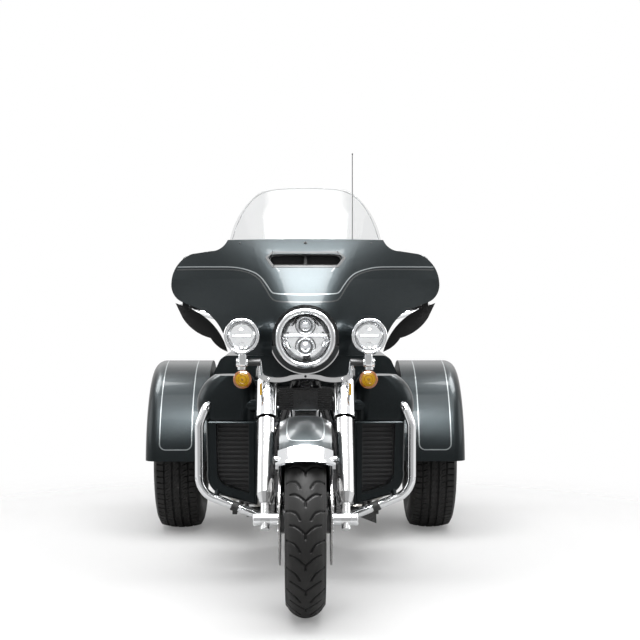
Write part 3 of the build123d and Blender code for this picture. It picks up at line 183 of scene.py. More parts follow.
def newFinish(name, sockets):
    finish = bpy.data.materials.new(name)
    finish.use_nodes = True
    tree = finish.node_tree
    shader = feed(tree, tree.nodes["Principled BSDF"], sockets)
    return finish, tree, shader, tree.nodes.new("ShaderNodeTexCoord").outputs["Object"]


def placeGroup(tree, group, values):
    return addNode(tree, "ShaderNodeGroup", values, node_tree=group).outputs


def addBump(tree, shader, height, strength, distance):
    bump = addNode(tree, "ShaderNodeBump", {"Strength": strength, "Distance": distance, "Height": height})
    feed(tree, shader, {"Normal": bump.outputs["Normal"]})


def tonedFinish(name, look):
    finish, tree, shader, coords = newFinish(name, look.get("sockets", {}))
    tone = placeGroup(tree, toneGrain, {
        "Coords": coords, "Tone A": (*look["tones"][0], 1), "Tone B": (*look["tones"][1], 1),
        "Tone Scale": look["toneScale"], "Grain Scale": look.get("grainScale", 500.0),
        "Rough Low": look["rough"][0], "Rough High": look["rough"][1]})
    color = tone["Color"]
    if "dust" in look:
        color = placeGroup(tree, roadDust, {"Coords": coords, "Color": color, "Amount": look["dust"],
                                            "Top": look.get("dustTop", 0.6)})["Color"]
    if "sunk" in look:
        # painted shade: the grooves' floor is darkened nearly to black, for the little light that gets into them
        groove = addNode(tree, "ShaderNodeAttribute", attribute_name="sunk")
        color = addMix(tree, groove.outputs["Fac"], color, (*[c * look["sunk"] for c in look["tones"][0]], 1))
    feed(tree, shader, {"Base Color": color, "Roughness": tone["Roughness"]})
    if "grain" in look:
        addBump(tree, shader, tone["Height"], *look["grain"])
    return finish


finishLooks = {
    "chromePlate": {"tones": ((0.8, 0.81, 0.82), (0.72, 0.73, 0.745)), "rough": (0.04, 0.09), "toneScale": 9,
                    "sockets": {"Metallic": 1.0}},
    "blackPlastic": {"tones": ((0.012, 0.012, 0.013), (0.018, 0.018, 0.019)), "rough": (0.42, 0.55), "toneScale": 30,
                     "grainScale": 1400, "grain": (0.25, 0.0006)},
    "blackEnamel": {"tones": ((0.01, 0.01, 0.011), (0.014, 0.014, 0.015)), "rough": (0.22, 0.32), "toneScale": 18,
                    "dust": 0.1, "grainScale": 700, "grain": (0.08, 0.0005), "sockets": {"Coat Weight": 0.3}},
    "glossBlack": {"tones": ((0.006, 0.006, 0.007), (0.009, 0.009, 0.01)), "rough": (0.08, 0.14), "toneScale": 12,
                   "sockets": {"Coat Weight": 0.5}},
    "castAlloy": {"tones": ((0.3, 0.3, 0.305), (0.22, 0.22, 0.225)), "rough": (0.36, 0.5), "toneScale": 20,
                  "grainScale": 650, "grain": (0.5, 0.0012), "dust": 0.25, "sockets": {"Metallic": 0.85}},
    "graphiteWheel": {"tones": ((0.055, 0.056, 0.058), (0.085, 0.086, 0.088)), "rough": (0.26, 0.36),
                      "toneScale": 16, "grainScale": 900, "grain": (0.1, 0.0006), "dust": 0.15,
                      "sockets": {"Metallic": 0.7, "Coat Weight": 0.4}},
    "discSteel": {"tones": ((0.46, 0.455, 0.45), (0.36, 0.355, 0.35)), "rough": (0.22, 0.36), "toneScale": 90,
                  "grainScale": 1100, "grain": (0.15, 0.0005), "sockets": {"Metallic": 1.0}},
    # in tyreRubber, sunk darkens the grooves' floor: painted shade
    "tyreRubber": {"tones": ((0.0065, 0.0065, 0.0067), (0.0095, 0.0094, 0.0092)), "rough": (0.55, 0.7),
                   "toneScale": 26, "grainScale": 1300, "grain": (0.35, 0.0008), "dust": 0.06, "dustTop": 0.65,
                   "sunk": 0.16, "sockets": {"Specular IOR Level": 0.3}},
    "lampMirror": {"tones": ((0.8, 0.805, 0.81), (0.68, 0.685, 0.69)), "rough": (0.16, 0.26), "toneScale": 45,
                   "grainScale": 160, "grain": (0.12, 0.002), "sockets": {"Metallic": 1.0}},
    "gaugeFace": {"tones": ((0.012, 0.013, 0.015), (0.02, 0.021, 0.024)), "rough": (0.25, 0.35), "toneScale": 40,
                  "grainScale": 1500, "grain": (0.1, 0.0004), "sockets": {"Coat Weight": 0.6}},
    "seatVinyl": {"tones": ((0.01, 0.0098, 0.0098), (0.016, 0.0155, 0.0155)), "rough": (0.46, 0.6), "toneScale": 12,
                  "grainScale": 900, "grain": (0.55, 0.0012), "sockets": {"Specular IOR Level": 0.3}},
    "pipingVinyl": {"tones": ((0.022, 0.0215, 0.021), (0.03, 0.029, 0.028)), "rough": (0.4, 0.5), "toneScale": 40,
                    "grainScale": 1200, "grain": (0.4, 0.0006)},
    "softRubber": {"tones": ((0.014, 0.014, 0.014), (0.02, 0.02, 0.02)), "rough": (0.55, 0.7), "toneScale": 35,
                   "grainScale": 1200, "grain": (0.3, 0.0006), "dust": 0.12},
    "grilleBlack": {"tones": ((0.008, 0.008, 0.009), (0.016, 0.016, 0.017)), "rough": (0.4, 0.52), "toneScale": 50,
                    "grainScale": 900, "grain": (0.3, 0.0006)},
    "stripeSilver": {"tones": ((0.22, 0.24, 0.245), (0.17, 0.185, 0.19)), "rough": (0.3, 0.36), "toneScale": 24,
                     "sockets": {"Metallic": 0.4, "Coat Weight": 0.3, "Coat Roughness": 0.05}},
    "stripeDark": {"tones": ((0.004, 0.0055, 0.006), (0.006, 0.0075, 0.008)), "rough": (0.3, 0.36), "toneScale": 24,
                   "sockets": {"Coat Weight": 0.2, "Coat Roughness": 0.05}},
    "bladeBlack": {"tones": ((0.0035, 0.0035, 0.0038), (0.005, 0.005, 0.0054)), "rough": (0.34, 0.44),
                   "toneScale": 28, "grainScale": 1300, "grain": (0.15, 0.0005),
                   "sockets": {"Specular IOR Level": 0.25}},
    "softChrome": {"tones": ((0.86, 0.865, 0.87), (0.78, 0.785, 0.79)), "rough": (0.12, 0.2), "toneScale": 10,
                   "sockets": {"Metallic": 0.6}},
    "plateBlank": {"tones": ((0.62, 0.62, 0.61), (0.55, 0.55, 0.545)), "rough": (0.34, 0.42), "toneScale": 18,
                   "grainScale": 700, "grain": (0.1, 0.0005)},
    "boltSteel": {"tones": ((0.55, 0.55, 0.555), (0.42, 0.42, 0.43)), "rough": (0.2, 0.32), "toneScale": 120,
                  "sockets": {"Metallic": 1.0}},
    "heatTint": {"tones": ((0.66, 0.64, 0.6), (0.52, 0.49, 0.45)), "rough": (0.12, 0.22), "toneScale": 8,
                 "sockets": {"Metallic": 1.0}},
    "lampEye": {"tones": ((0.62, 0.63, 0.64), (0.5, 0.51, 0.52)), "rough": (0.04, 0.07), "toneScale": 60,
                "sockets": {"Metallic": 0.9, "Coat Weight": 1.0}},
    # this white glows a little of itself: a painted glow on the dial ticks and on the lamps' strips
    "paintedGlowWhite": {"tones": ((0.86, 0.87, 0.88), (0.78, 0.79, 0.8)), "rough": (0.2, 0.3), "toneScale": 90,
                 "sockets": {"Emission Color": (1, 1, 1, 1), "Emission Strength": 0.35}},
    # the next two ambers are darker than the lens: painted shade on the signal lenses' rings, middle dot and rim
    "amberRingShade": {"tones": ((0.34, 0.16, 0.002), (0.42, 0.2, 0.003)), "rough": (0.12, 0.2), "toneScale": 60,
                  "sockets": {"Coat Weight": 1.0}},
    "amberRim": {"tones": ((0.3, 0.085, 0.003), (0.34, 0.1, 0.004)), "rough": (0.12, 0.2), "toneScale": 60,
                 "sockets": {"Coat Weight": 1.0}},
    "amberLens": {"tones": ((0.6, 0.34, 0.003), (0.52, 0.28, 0.002)), "rough": (0.22, 0.3), "toneScale": 30,
                  "grainScale": 220, "grain": (0.25, 0.002), "sockets": {"Specular IOR Level": 0.25}},
    "needleRed": {"tones": ((0.55, 0.03, 0.012), (0.48, 0.025, 0.01)), "rough": (0.3, 0.4), "toneScale": 60},
    "mirrorSilver": {"tones": ((0.86, 0.87, 0.88), (0.83, 0.84, 0.85)), "rough": (0.01, 0.03), "toneScale": 12,
                     "sockets": {"Metallic": 1.0}},
    "redDeep": {"tones": ((0.22, 0.006, 0.005), (0.17, 0.005, 0.004)), "rough": (0.15, 0.25), "toneScale": 40,
                "sockets": {"Coat Weight": 0.5}},
    # screenEdge is grey: painted shade along the edge of the clear screen
    "screenEdge": {"tones": ((0.25, 0.255, 0.26), (0.2, 0.205, 0.21)), "rough": (0.5, 0.6), "toneScale": 30,
                   "sockets": {"Specular IOR Level": 0.05}},
    "redLens": {"tones": ((0.46, 0.01, 0.008), (0.38, 0.008, 0.006)), "rough": (0.12, 0.2), "toneScale": 30,
                "grainScale": 220, "grain": (0.2, 0.0015), "sockets": {"Coat Weight": 0.4}},
}
finishes = {name: tonedFinish(name, look) for name, look in finishLooks.items()}


def paintFinish():
    look = {"Scale": 1400.0, "Deep": (0.006, 0.0083, 0.0092, 1), "Bright": (0.0175, 0.0222, 0.0240, 1)}
    finish, tree, shader, coords = newFinish("stormPaint", {
        "Metallic": 0.8, "Roughness": 0.33, "Specular IOR Level": 0.3, "Coat Weight": 0.14, "Coat Roughness": 0.04,
        "Coat IOR": 1.45})
    flakes = placeGroup(tree, paintFlakes, {"Coords": coords, **look})
    feed(tree, shader, {"Base Color": flakes["Color"]})
    addBump(tree, shader, flakes["Height"], 0.10, 0.0004)
    return finish


def lampGlassFinish():
    tint = (0.97, 0.975, 0.98)
    finish, tree, shader, coords = newFinish("lampGlass", {"Transmission Weight": 1.0, "IOR": 1.2, "Roughness": 0.0})
    tone = placeGroup(tree, toneGrain, {
        "Coords": coords, "Tone A": (*tint, 1), "Tone B": (*[c * 0.98 for c in tint], 1), "Tone Scale": 5.0,
        "Grain Scale": 60.0})
    feed(tree, shader, {"Base Color": tone["Color"]})
    return finish


def screenFinish():
    # clear in the middle, greyer towards both sides: painted shade for the darker look of the clear screen where it
    # curves back
    look = {"clear": (0.985, 0.99, 0.99, 1), "side": (0.80, 0.806, 0.81, 1), "from": 0.125, "to": 0.155}
    finish, tree, shader, coords = newFinish("clearScreen", {"Transmission Weight": 1.0, "IOR": 1.12, "Roughness": 0.0})
    split = addNode(tree, "ShaderNodeSeparateXYZ", {0: coords})
    zone = addRange(tree, addMath(tree, "ABSOLUTE", split.outputs["X"]), look["from"], look["to"])
    feed(tree, shader, {"Base Color": addMix(tree, zone, look["clear"], look["side"])})
    return finish


def bracketFinish():
    # bright strip below, dark cheeks where it rises round the headlamp
    look = {"lamp": (0, 0, 0.915), "cheek": 0.1215, "soft": 0.0008, "dark": (0.009, 0.0115, 0.0125, 1),
            "bright": (0.82, 0.825, 0.83, 1), "rough": (0.34, 0.15)}
    finish, tree, shader, coords = newFinish("bracketTwoTone", {})
    away = addVectorMath(tree, "MULTIPLY", addVectorMath(tree, "SUBTRACT", coords, look["lamp"]), (1, 0, 1))
    reach = addVectorMath(tree, "LENGTH", away, result="Value")
    bright = addRange(tree, reach, look["cheek"] - look["soft"], look["cheek"] + look["soft"])
    feed(tree, shader, {"Metallic": bright, "Base Color": addMix(tree, bright, look["dark"], look["bright"]),
                        "Roughness": addRange(tree, bright, 0.0, 1.0, *look["rough"])})
    return finish


def forkFinish():
    # bright covers above, satin sliders below, and a dark seal where they meet
    lean = math.radians(30)
    look = {"seam": 0.366, "soft": 0.002, "ring": 0.008, "axis": (0, math.sin(lean), math.cos(lean)),
            "satin": (0.66, 0.665, 0.67, 1), "bright": (0.82, 0.83, 0.84, 1), "seal": (0.008, 0.008, 0.008, 1),
            "rough": (0.17, 0.045)}
    finish, tree, shader, coords = newFinish("forkBright", {"Metallic": 1.0})
    away = addVectorMath(tree, "SUBTRACT", coords, trike["frontAxle"])
    along = addVectorMath(tree, "DOT_PRODUCT", away, look["axis"], result="Value")
    upper = addRange(tree, along, look["seam"] - look["soft"], look["seam"] + look["soft"])
    seal = addMath(tree, "COMPARE", along, look["seam"], look["ring"] / 2)
    metal = addMix(tree, upper, look["satin"], look["bright"])
    feed(tree, shader, {"Base Color": addMix(tree, seal, metal, look["seal"]),
                        "Roughness": addRange(tree, upper, 0.0, 1.0, *look["rough"])})
    return finish


finishes.update({"stormPaint": paintFinish(), "clearScreen": screenFinish(), "forkBright": forkFinish(),
                 "bracketTwoTone": bracketFinish(), "lampGlass": lampGlassFinish()})

nodeFinish = {
    "stormPaint": "fairing_shell front_fender fuel_tank lower_fairings rear_body rear_fenders side_covers "
                  "top_case top_case_lid trunk_door",
    "chromePlate": "air_cleaner engine_covers engine_guard fender_tip front_axle handlebar "
                   "headlamp_ring lamp_housings case_rack",
    "softChrome": "tank_console",
    "bracketTwoTone": "fork_bracket",
    "bladeBlack": "wind_deflectors",
    "heatTint": "exhaust",
    "forkBright": "fork_legs",
    "blackPlastic": "bar_controls dash_panel mirrors headlamp_bucket antenna",
    "blackEnamel": "brake_calipers fork_clamps foot_boards frame regulator rear_axle",
    "castAlloy": "cylinders engine_case",
    "grilleBlack": "radiators",
    "graphiteWheel": "front_rim rear_rim_left rear_rim_right",
    "discSteel": "front_discs",
    "tyreRubber": "front_tyre rear_tyre_left rear_tyre_right",
    "clearScreen": "windscreen",
    "lampGlass": "headlamp_lens passing_lenses",
    "lampMirror": "headlamp_reflector",
    "amberLens": "signal_lenses",
    "redLens": "tail_lamps",
    "gaugeFace": "dash_gauges",
    "seatVinyl": "seat backrest",
}
for finishName, names in nodeFinish.items():
    for nodeName in names.split():
        for holder in nodes[nodeName].material_slots:
            holder.material = finishes[finishName]
print("finishes on the carried solids")


# small makers of shapes: each gives points and faces
def joined(*shapes):
    points, faces = [], []
    for more, moreFaces in shapes:
        start = len(points)
        points.extend(more)
        faces.extend([[i + start for i in face] for face in moreFaces])
    return points, faces


def frameOn(centre, out, turnTo=Vector((0, 0, 1))):
    out = Vector(out).normalized()
    side = turnTo.cross(out)
    if side.length < 1e-4:
        side = Vector((1, 0, 0)).cross(out)
    side.normalize()
    up = out.cross(side)
    return Matrix((side, up, out)).transposed().to_4x4(), Vector(centre)


def spunShape(profile, centre, out, sides=48):
    # profile holds (radius, place along the axis); a zero radius closes to a pole
    turn, spot = frameOn(centre, out)
    points, faces, rows = [], [], []
    for radius, along in profile:
        row = []
        count = 1 if radius < 1e-7 else sides
        for i in range(count):
            angle = 2 * math.pi * i / sides
            local = Vector((radius * math.cos(angle), radius * math.sin(angle), along))
            row.append(len(points))
            points.append(spot + turn @ local)
        rows.append(row)
    for low, high in zip(rows, rows[1:]):
        for i in range(sides):
            j = (i + 1) % sides
            if len(low) == 1 and len(high) == 1:
                continue
            if len(low) == 1:
                faces.append([low[0], high[j], high[i]])
            elif len(high) == 1:
                faces.append([low[i], low[j], high[0]])
            else:
                faces.append([low[i], low[j], high[j], high[i]])
    return points, faces


def softBox(low, high, rounding, steps=2, place=None):
    shape = bmesh.new()
    bmesh.ops.create_cube(shape, size=1.0)
    low, high = Vector(low), Vector(high)
    for v in shape.verts:
        v.co = Vector([low[i] + (v.co[i] + 0.5) * (high[i] - low[i]) for i in range(3)])
    if rounding > 0:
        bmesh.ops.bevel(shape, geom=list(shape.edges), offset=rounding, segments=steps, profile=0.5,
                        affect="EDGES")
    shape.verts.index_update()
    points = [place @ v.co if place else v.co.copy() for v in shape.verts]
    faces = [[v.index for v in face.verts] for face in shape.faces]
    shape.free()
    return points, faces


def plateShape(outline, thick, place):
    # a flat outline of (x, y) pulled to a plate along the place's own Z
    count = len(outline)
    points = [place @ Vector((x, y, 0)) for x, y in outline] + [place @ Vector((x, y, thick)) for x, y in outline]
    faces = [list(range(count))[::-1], list(range(count, 2 * count))]
    faces += [[i, (i + 1) % count, count + (i + 1) % count, count + i] for i in range(count)]
    return points, faces


def tubeShape(path, radius, sides=12, closed=False):
    path = [Vector(p) for p in path]
    count = len(path)
    points, faces, rows = [], [], []
    lean = None
    for i, spot in enumerate(path):
        before = path[i - 1] if i or closed else path[i]
        after = path[(i + 1) % count] if i < count - 1 or closed else path[i]
        along = (after - before).normalized()
        if lean is None:
            lean = along.orthogonal().normalized()
        lean = (lean - along * lean.dot(along)).normalized()
        other = along.cross(lean)
        thick = radius[i] if isinstance(radius, (list, tuple)) else radius
        row = []
        for k in range(sides):
            angle = 2 * math.pi * k / sides
            row.append(len(points))
            points.append(spot + (lean * math.cos(angle) + other * math.sin(angle)) * thick)
        rows.append(row)
    pairs = list(zip(rows, rows[1:])) + ([(rows[-1], rows[0])] if closed else [])
    for low, high in pairs:
        faces += [[low[k], low[(k + 1) % sides], high[(k + 1) % sides], high[k]] for k in range(sides)]
    if not closed:
        faces += [rows[0][::-1], rows[-1]]
    return points, faces


def arcThrough(a, b, c, steps):
    # points on the circle through three flat points, from a to c by way of b
    (ax, ay), (bx, by), (cx, cy) = a, b, c
    d = 2 * (ax * (by - cy) + bx * (cy - ay) + cx * (ay - by))
    aa, bb, cc = ax * ax + ay * ay, bx * bx + by * by, cx * cx + cy * cy
    ox = (aa * (by - cy) + bb * (cy - ay) + cc * (ay - by)) / d
    oy = (aa * (cx - bx) + bb * (ax - cx) + cc * (bx - ax)) / d
    start, middle, end = (math.atan2(y - oy, x - ox) for x, y in (a, b, c))
    sweep = (end - start) % (2 * math.pi)
    if (middle - start) % (2 * math.pi) > sweep:
        sweep -= 2 * math.pi
    r = math.hypot(ax - ox, ay - oy)
    return [(ox + r * math.cos(start + sweep * i / steps), oy + r * math.sin(start + sweep * i / steps))
            for i in range(steps + 1)]


def dressMesh(name, mesh, finish, body, sharp=38.0):
    mesh.materials.clear()
    mesh.materials.append(finishes[finish])
    mesh.polygons.foreach_set("use_smooth", [True] * len(mesh.polygons))
    mesh.polygons.foreach_set("material_index", [0] * len(mesh.polygons))
    mesh.set_sharp_from_angle(angle=math.radians(sharp))
    piece = bpy.data.objects.new(name, mesh)
    scene.collection.objects.link(piece)
    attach(piece, body)
    return piece


def closedMesh(name, shape):
    mesh = bpy.data.meshes.new(name)
    mesh.from_pydata([tuple(p) for p in shape[0]], [], shape[1])
    work = bmesh.new()
    work.from_mesh(mesh)
    bmesh.ops.remove_doubles(work, verts=work.verts, dist=1e-5)
    bmesh.ops.recalc_face_normals(work, faces=work.faces)
    work.to_mesh(mesh)
    work.free()
    return mesh


def newPiece(name, shape, finish, body, sharp=38.0):
    return dressMesh(name, closedMesh(name, shape), finish, body, sharp)


def mirrorX(shape):
    return [Vector((-p[0], p[1], p[2])) for p in shape[0]], [list(face)[::-1] for face in shape[1]]


def bothSides(shape):
    return joined(shape, mirrorX(shape))


# geometry trees for what repeats: each ends by making its copies real and giving them a finish
def newTree(name, inputs):
    return newGroup(name, "GeometryNodeTree", [("Geometry", "Geometry")] + inputs + [("Finish", "Material")])


def realCopies(tree, values):
    copies = addNode(tree, "GeometryNodeInstanceOnPoints", values)
    return addNode(tree, "GeometryNodeRealizeInstances", {0: copies.outputs[0]}).outputs[0]


def endTree(tree, given, shape):
    coat = addNode(tree, "GeometryNodeSetMaterial", {"Geometry": shape, "Material": given["Finish"]})
    return endGroup(tree, [("Geometry", "Geometry", coat.outputs[0])])


def ringTree():
    # the object's own mesh repeated round X, then the whole ring is turned and carried to its axle
    tree, given = newTree("ringOfCopies", [("Count", "Int"), ("Axle", "Vector"), ("Turn", "Vector"),
                                           ("Merge", "Float")])
    spots = addNode(tree, "GeometryNodePoints", {"Count": given["Count"]})
    index = addNode(tree, "GeometryNodeInputIndex")
    angle = addMath(tree, "MULTIPLY", addMath(tree, "DIVIDE", index.outputs[0], given["Count"]), 2 * math.pi)
    angles = addNode(tree, "ShaderNodeCombineXYZ", {"X": angle})
    rotation = addNode(tree, "FunctionNodeEulerToRotation", {0: angles.outputs[0]})
    real = realCopies(tree, {"Points": spots.outputs[0], "Instance": given["Geometry"],
                             "Rotation": rotation.outputs[0]})
    merged = addNode(tree, "GeometryNodeMergeByDistance", {"Geometry": real, "Distance": given["Merge"]})
    carried = addNode(tree, "GeometryNodeTransform", {"Geometry": merged.outputs[0], "Translation": given["Axle"],
                                                      "Rotation": given["Turn"]})
    return endTree(tree, given, carried.outputs[0])


def headsTree():
    # one small head on each point of the mesh, facing the way its own attribute says
    tree, given = newTree("headsOnPoints", [("Head", "Object")])
    spots = addNode(tree, "GeometryNodeMeshToPoints", {"Mesh": given["Geometry"]})
    head = addNode(tree, "GeometryNodeObjectInfo", {0: given["Head"]})
    facing, size = (addNode(tree, "GeometryNodeInputNamedAttribute", {"Name": name}, data_type=kind).outputs[0]
                    for name, kind in (("facing", "FLOAT_VECTOR"), ("size", "FLOAT")))
    aim = addNode(tree, "FunctionNodeAlignRotationToVector", {"Vector": facing}, axis="Z")
    return endTree(tree, given, realCopies(tree, {"Points": spots.outputs[0], "Instance": head.outputs["Geometry"],
                                                  "Rotation": aim.outputs[0], "Scale": size}))


def rowTree():
    # the object's own mesh repeated along a straight row
    tree, given = newTree("rowOfCopies", [("Count", "Int"), ("Step", "Vector")])
    row = addNode(tree, "GeometryNodeMeshLine", {"Count": given["Count"], "Offset": given["Step"]}, mode="OFFSET")
    return endTree(tree, given, realCopies(tree, {"Points": row.outputs[0], "Instance": given["Geometry"]}))


ringOfCopies, headsOnPoints, rowOfCopies = ringTree(), headsTree(), rowTree()


def grown(mesh, tree, values):
    # runs a tree on a mesh and gives the plain mesh that comes out
    holder = bpy.data.objects.new("holder", mesh)
    scene.collection.objects.link(holder)
    step = holder.modifiers.new("repeat", "NODES")
    step.node_group = tree
    for item in tree.interface.items_tree:
        if item.item_type == "SOCKET" and item.in_out == "INPUT" and item.name in values:
            step[item.identifier] = values[item.name]
    bpy.context.view_layer.update()
    result = bpy.data.meshes.new_from_object(holder.evaluated_get(bpy.context.evaluated_depsgraph_get()))
    bpy.data.objects.remove(holder)
    return result


def headObject(name, shape):
    head = bpy.data.objects.new(name, closedMesh(name, shape))
    scene.collection.objects.link(head)
    head.hide_render = True
    return head


def placedHeads(name, head, spots, finish, body):
    # spots holds (place, facing, size)
    mesh = bpy.data.meshes.new(name)
    mesh.from_pydata([tuple(spot[0]) for spot in spots], [], [])
    mesh.attributes.new("facing", "FLOAT_VECTOR", "POINT")
    mesh.attributes.new("size", "FLOAT", "POINT")
    for i, (_, out, grow) in enumerate(spots):
        mesh.attributes["facing"].data[i].vector = Vector(out).normalized()
        mesh.attributes["size"].data[i].value = grow
    result = grown(mesh, headsOnPoints, {"Head": head, "Finish": finishes[finish]})
    return dressMesh(name, result, finish, body)


# tyres: one pitch of tread, turned round the axle
tyreSizes = {
    "front": {"radius": 0.319, "width": 0.130, "rim": 0.241, "rimWidth": 0.088, "tread": 0.117, "crown": 0.0338,
              "pitches": 20, "depth": 0.0048, "groove": 0.0033},
    "rear": {"radius": 0.324, "width": 0.206, "rim": 0.1905, "rimWidth": 0.166, "tread": 0.173, "crown": 0.013,
             "pitches": 72, "depth": 0.0062},
}


def tyreProfile(size, treadPlaces):
    # (across, radius, tread share or None) from the left bead over the tread to the right bead
    bead = {"lip": 0.0093, "inset": 0.009, "swell": 0.45, "ridges": {5: 0.00072, 13: 0.00054}}
    lipTop = size["rim"] + bead["lip"]
    shoulder = size["radius"] - size["crown"]
    swell = lipTop + (shoulder - lipTop) * bead["swell"]
    halfRim, halfTread = size["rimWidth"] / 2, size["tread"] / 2
    ballR = (halfTread ** 2 + size["crown"] ** 2) / (2 * size["crown"])
    right = [(halfRim - bead["inset"], size["rim"]), (halfRim - bead["inset"], lipTop)]
    right += arcThrough((halfRim, lipTop), (size["width"] / 2, swell), (halfTread, shoulder), 14)
    right = [(x + bead["ridges"].get(i, 0.0), r) for i, (x, r) in enumerate(right)]
    rows = [(-x, r, None) for x, r in right[:-1]]
    for share in treadPlaces:
        x = share * halfTread
        rows.append((x, size["radius"] - ballR + math.sqrt(ballR ** 2 - x * x), share))
    rows += [(x, r, None) for x, r in reversed(right[:-1])]
    return rows


def pitchMesh(name, size, treadPlaces, alongPlaces, skew, sink):
    # a grid over one pitch: skew leans it with the tread, sink gives the groove's depth
    pitch = 2 * math.pi / size["pitches"]
    rows = tyreProfile(size, treadPlaces)
    points, faces = [], []
    for x, r, share in rows:
        for s in alongPlaces:
            lean = skew(share if share is not None else math.copysign(1.0, x))
            down = sink(share, s) if share is not None else 0.0
            angle = (s + lean) * pitch
            points.append((x, -(r - down) * math.cos(angle), (r - down) * math.sin(angle)))
    wide = len(alongPlaces)
    for i in range(len(rows)):
        for j in range(wide - 1):
            a, b = i * wide + j, (i + 1) % len(rows) * wide + j
            faces.append([a, a + 1, b + 1, b])
    mesh = bpy.data.meshes.new(name)
    mesh.from_pydata(points, [], faces)
    sunk = mesh.attributes.new("sunk", "FLOAT", "POINT")
    for i, (x, r, share) in enumerate(rows):
        for j, s in enumerate(alongPlaces):
            sunk.data[i * wide + j].value = sink(share, s) / size["depth"] if share is not None else 0.0
    return mesh


def segmentGap(px, py, ax, ay, bx, by):
    dx, dy = bx - ax, by - ay
    share = max(0.0, min(1.0, ((px - ax) * dx + (py - ay) * dy) / (dx * dx + dy * dy)))
    return math.hypot(px - ax - share * dx, py - ay - share * dy)


def frontTread(size):
    # grooves in millimetres on one pitch: along the tread, and away from its middle
    length = 2000 * math.pi * size["radius"] / size["pitches"]
    lines = [[(-6, 0), (9, 0), (16, 9), (27, 22), (33, 34), (34.5, 46)],
             [(52, 17), (64, 23), (74, 31), (80, 44), (81, 58)]]
    grid = {"across": 29, "along": 44}
    groove = {"half": size["groove"] * 1000, "edge": 0.9, "slope": 1.5, "fadeFrom": 0.7, "fade": 0.3}
    places = [i / grid["across"] for i in range(-grid["across"], grid["across"] + 1)]
    along = [i / grid["along"] for i in range(grid["along"] + 1)]

    def sink(share, s):
        across = abs(share) * size["tread"] * 500
        gap = min(segmentGap(s * length + shift, across, *start, *end) for line in lines
                  for start, end in zip(line, line[1:]) for shift in (-length, 0, length))
        fall = max(0.0, min(1.0, (groove["half"] + groove["edge"] - gap) / groove["slope"]))
        return size["depth"] * fall * (1.0 - groove["fade"] * max(0.0, abs(share) - groove["fadeFrom"]))

    return pitchMesh("frontPitch", size, places, along, lambda share: 0.0, sink)


def rearTread(size):
    # shares of the half tread; slots and sipes are shares of one pitch
    grooves = ((-0.60, 0.050), (-0.20, 0.055), (0.20, 0.055), (0.60, 0.050))
    slot, sipe, edge = (0.05, 0.28), (0.63, 0.71), 0.012
    places = {0.0} | {sign * p for sign in (1, -1) for p in (0.1, 0.3, 0.4, 0.5, 0.7, 0.8, 0.9, 0.97, 1.0)}
    for middle, half in grooves:
        places.update((middle - half, middle - half + edge, middle, middle + half - edge, middle + half))
    places = sorted(places)
    along = [0.0, 0.05, 0.14, 0.23, 0.28, 0.5, 0.62, 0.65, 0.69, 0.72, 0.86, 1.0]

    def sink(share, s):
        if any(abs(share - middle) <= half - 0.011 for middle, half in grooves):
            return size["depth"]
        rib, inSlot, inSipe = abs(share), slot[0] < s < slot[1], sipe[0] < s < sipe[1]
        if rib > 0.62:
            deep = 0.85 if inSlot and rib < 0.985 else 0.0
        elif rib > 0.24:
            deep = 0.75 if inSlot and rib > 0.30 else 0.5 if inSipe and rib < 0.5 else 0.0
        else:
            deep = 0.6 if inSlot and share > 0.0 or inSipe and share < 0.0 else 0.0
        return size["depth"] * deep

    def skew(share):
        return 1.1 * share + 0.5 * math.sin(share * math.pi)

    return pitchMesh("rearPitch", size, places, along, skew, sink)


def makeTyres():
    aside = Vector((trike["rearWheelX"], 0, 0))
    jobs = (("frontTyreTread", "front", trike["frontAxle"], "front_tyre", "front_wheel"),
            ("leftTyreTread", "rear", trike["rearAxle"] + aside, "rear_tyre_left", "rear_wheel_left"),
            ("rightTyreTread", "rear", trike["rearAxle"] - aside, "rear_tyre_right", "rear_wheel_right"))
    pitches = {"front": frontTread(tyreSizes["front"]), "rear": rearTread(tyreSizes["rear"])}
    for name, kind, axle, node, body in jobs:
        mesh = grown(pitches[kind].copy(), ringOfCopies, {
            "Count": tyreSizes[kind]["pitches"], "Axle": axle, "Merge": 0.0001, "Finish": finishes["tyreRubber"]})
        work = bmesh.new()
        work.from_mesh(mesh)
        bmesh.ops.recalc_face_normals(work, faces=work.faces)
        work.to_mesh(mesh)
        work.free()
        tyre = dressMesh(name, mesh, "tyreRubber", body, 50.0)
        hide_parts(node)
        print(name, len(mesh.polygons), "faces")


makeTyres()


# lines of paint, laid on a carried solid
skins = {}


def castOn(node, start, aim):
    # where a straight line meets a carried solid, and the way its skin faces there
    if node not in skins:
        mesh = nodes[node].data
        skins[node] = BVHTree.FromPolygons([v.co for v in mesh.vertices], [p.vertices for p in mesh.polygons])
    hit, normal, _, _ = skins[node].ray_cast(start, aim)
    return None if hit is None else (hit, normal if normal.dot(aim) < 0 else -normal)


def smoothed(path, steps):
    # an even line through the given corner points
    path = [Vector(p) for p in path]
    result = []
    for i in range(len(path) - 1):
        a, b, c, d = path[max(i - 1, 0)], path[i], path[i + 1], path[min(i + 2, len(path) - 1)]
        for k in range(steps):
            t = k / steps
            result.append(0.5 * ((2 * b) + (c - a) * t + (2 * a - 5 * b + 4 * c - d) * t * t
                                 + (3 * b - a - 3 * c + d) * t ** 3))
    result.append(path[-1])
    return result


def photoSpot(px, py, node):
    return castOn(node, photoView["spot"], sightLine(px, py))


def photoLine(path, node, steps):
    # where the photograph's line meets the solid: places and outward directions
    hits = [photoSpot(spot.x, spot.y, node) for spot in smoothed([(x, y, 0) for x, y in path], steps)]
    return [hit for hit in hits if hit]


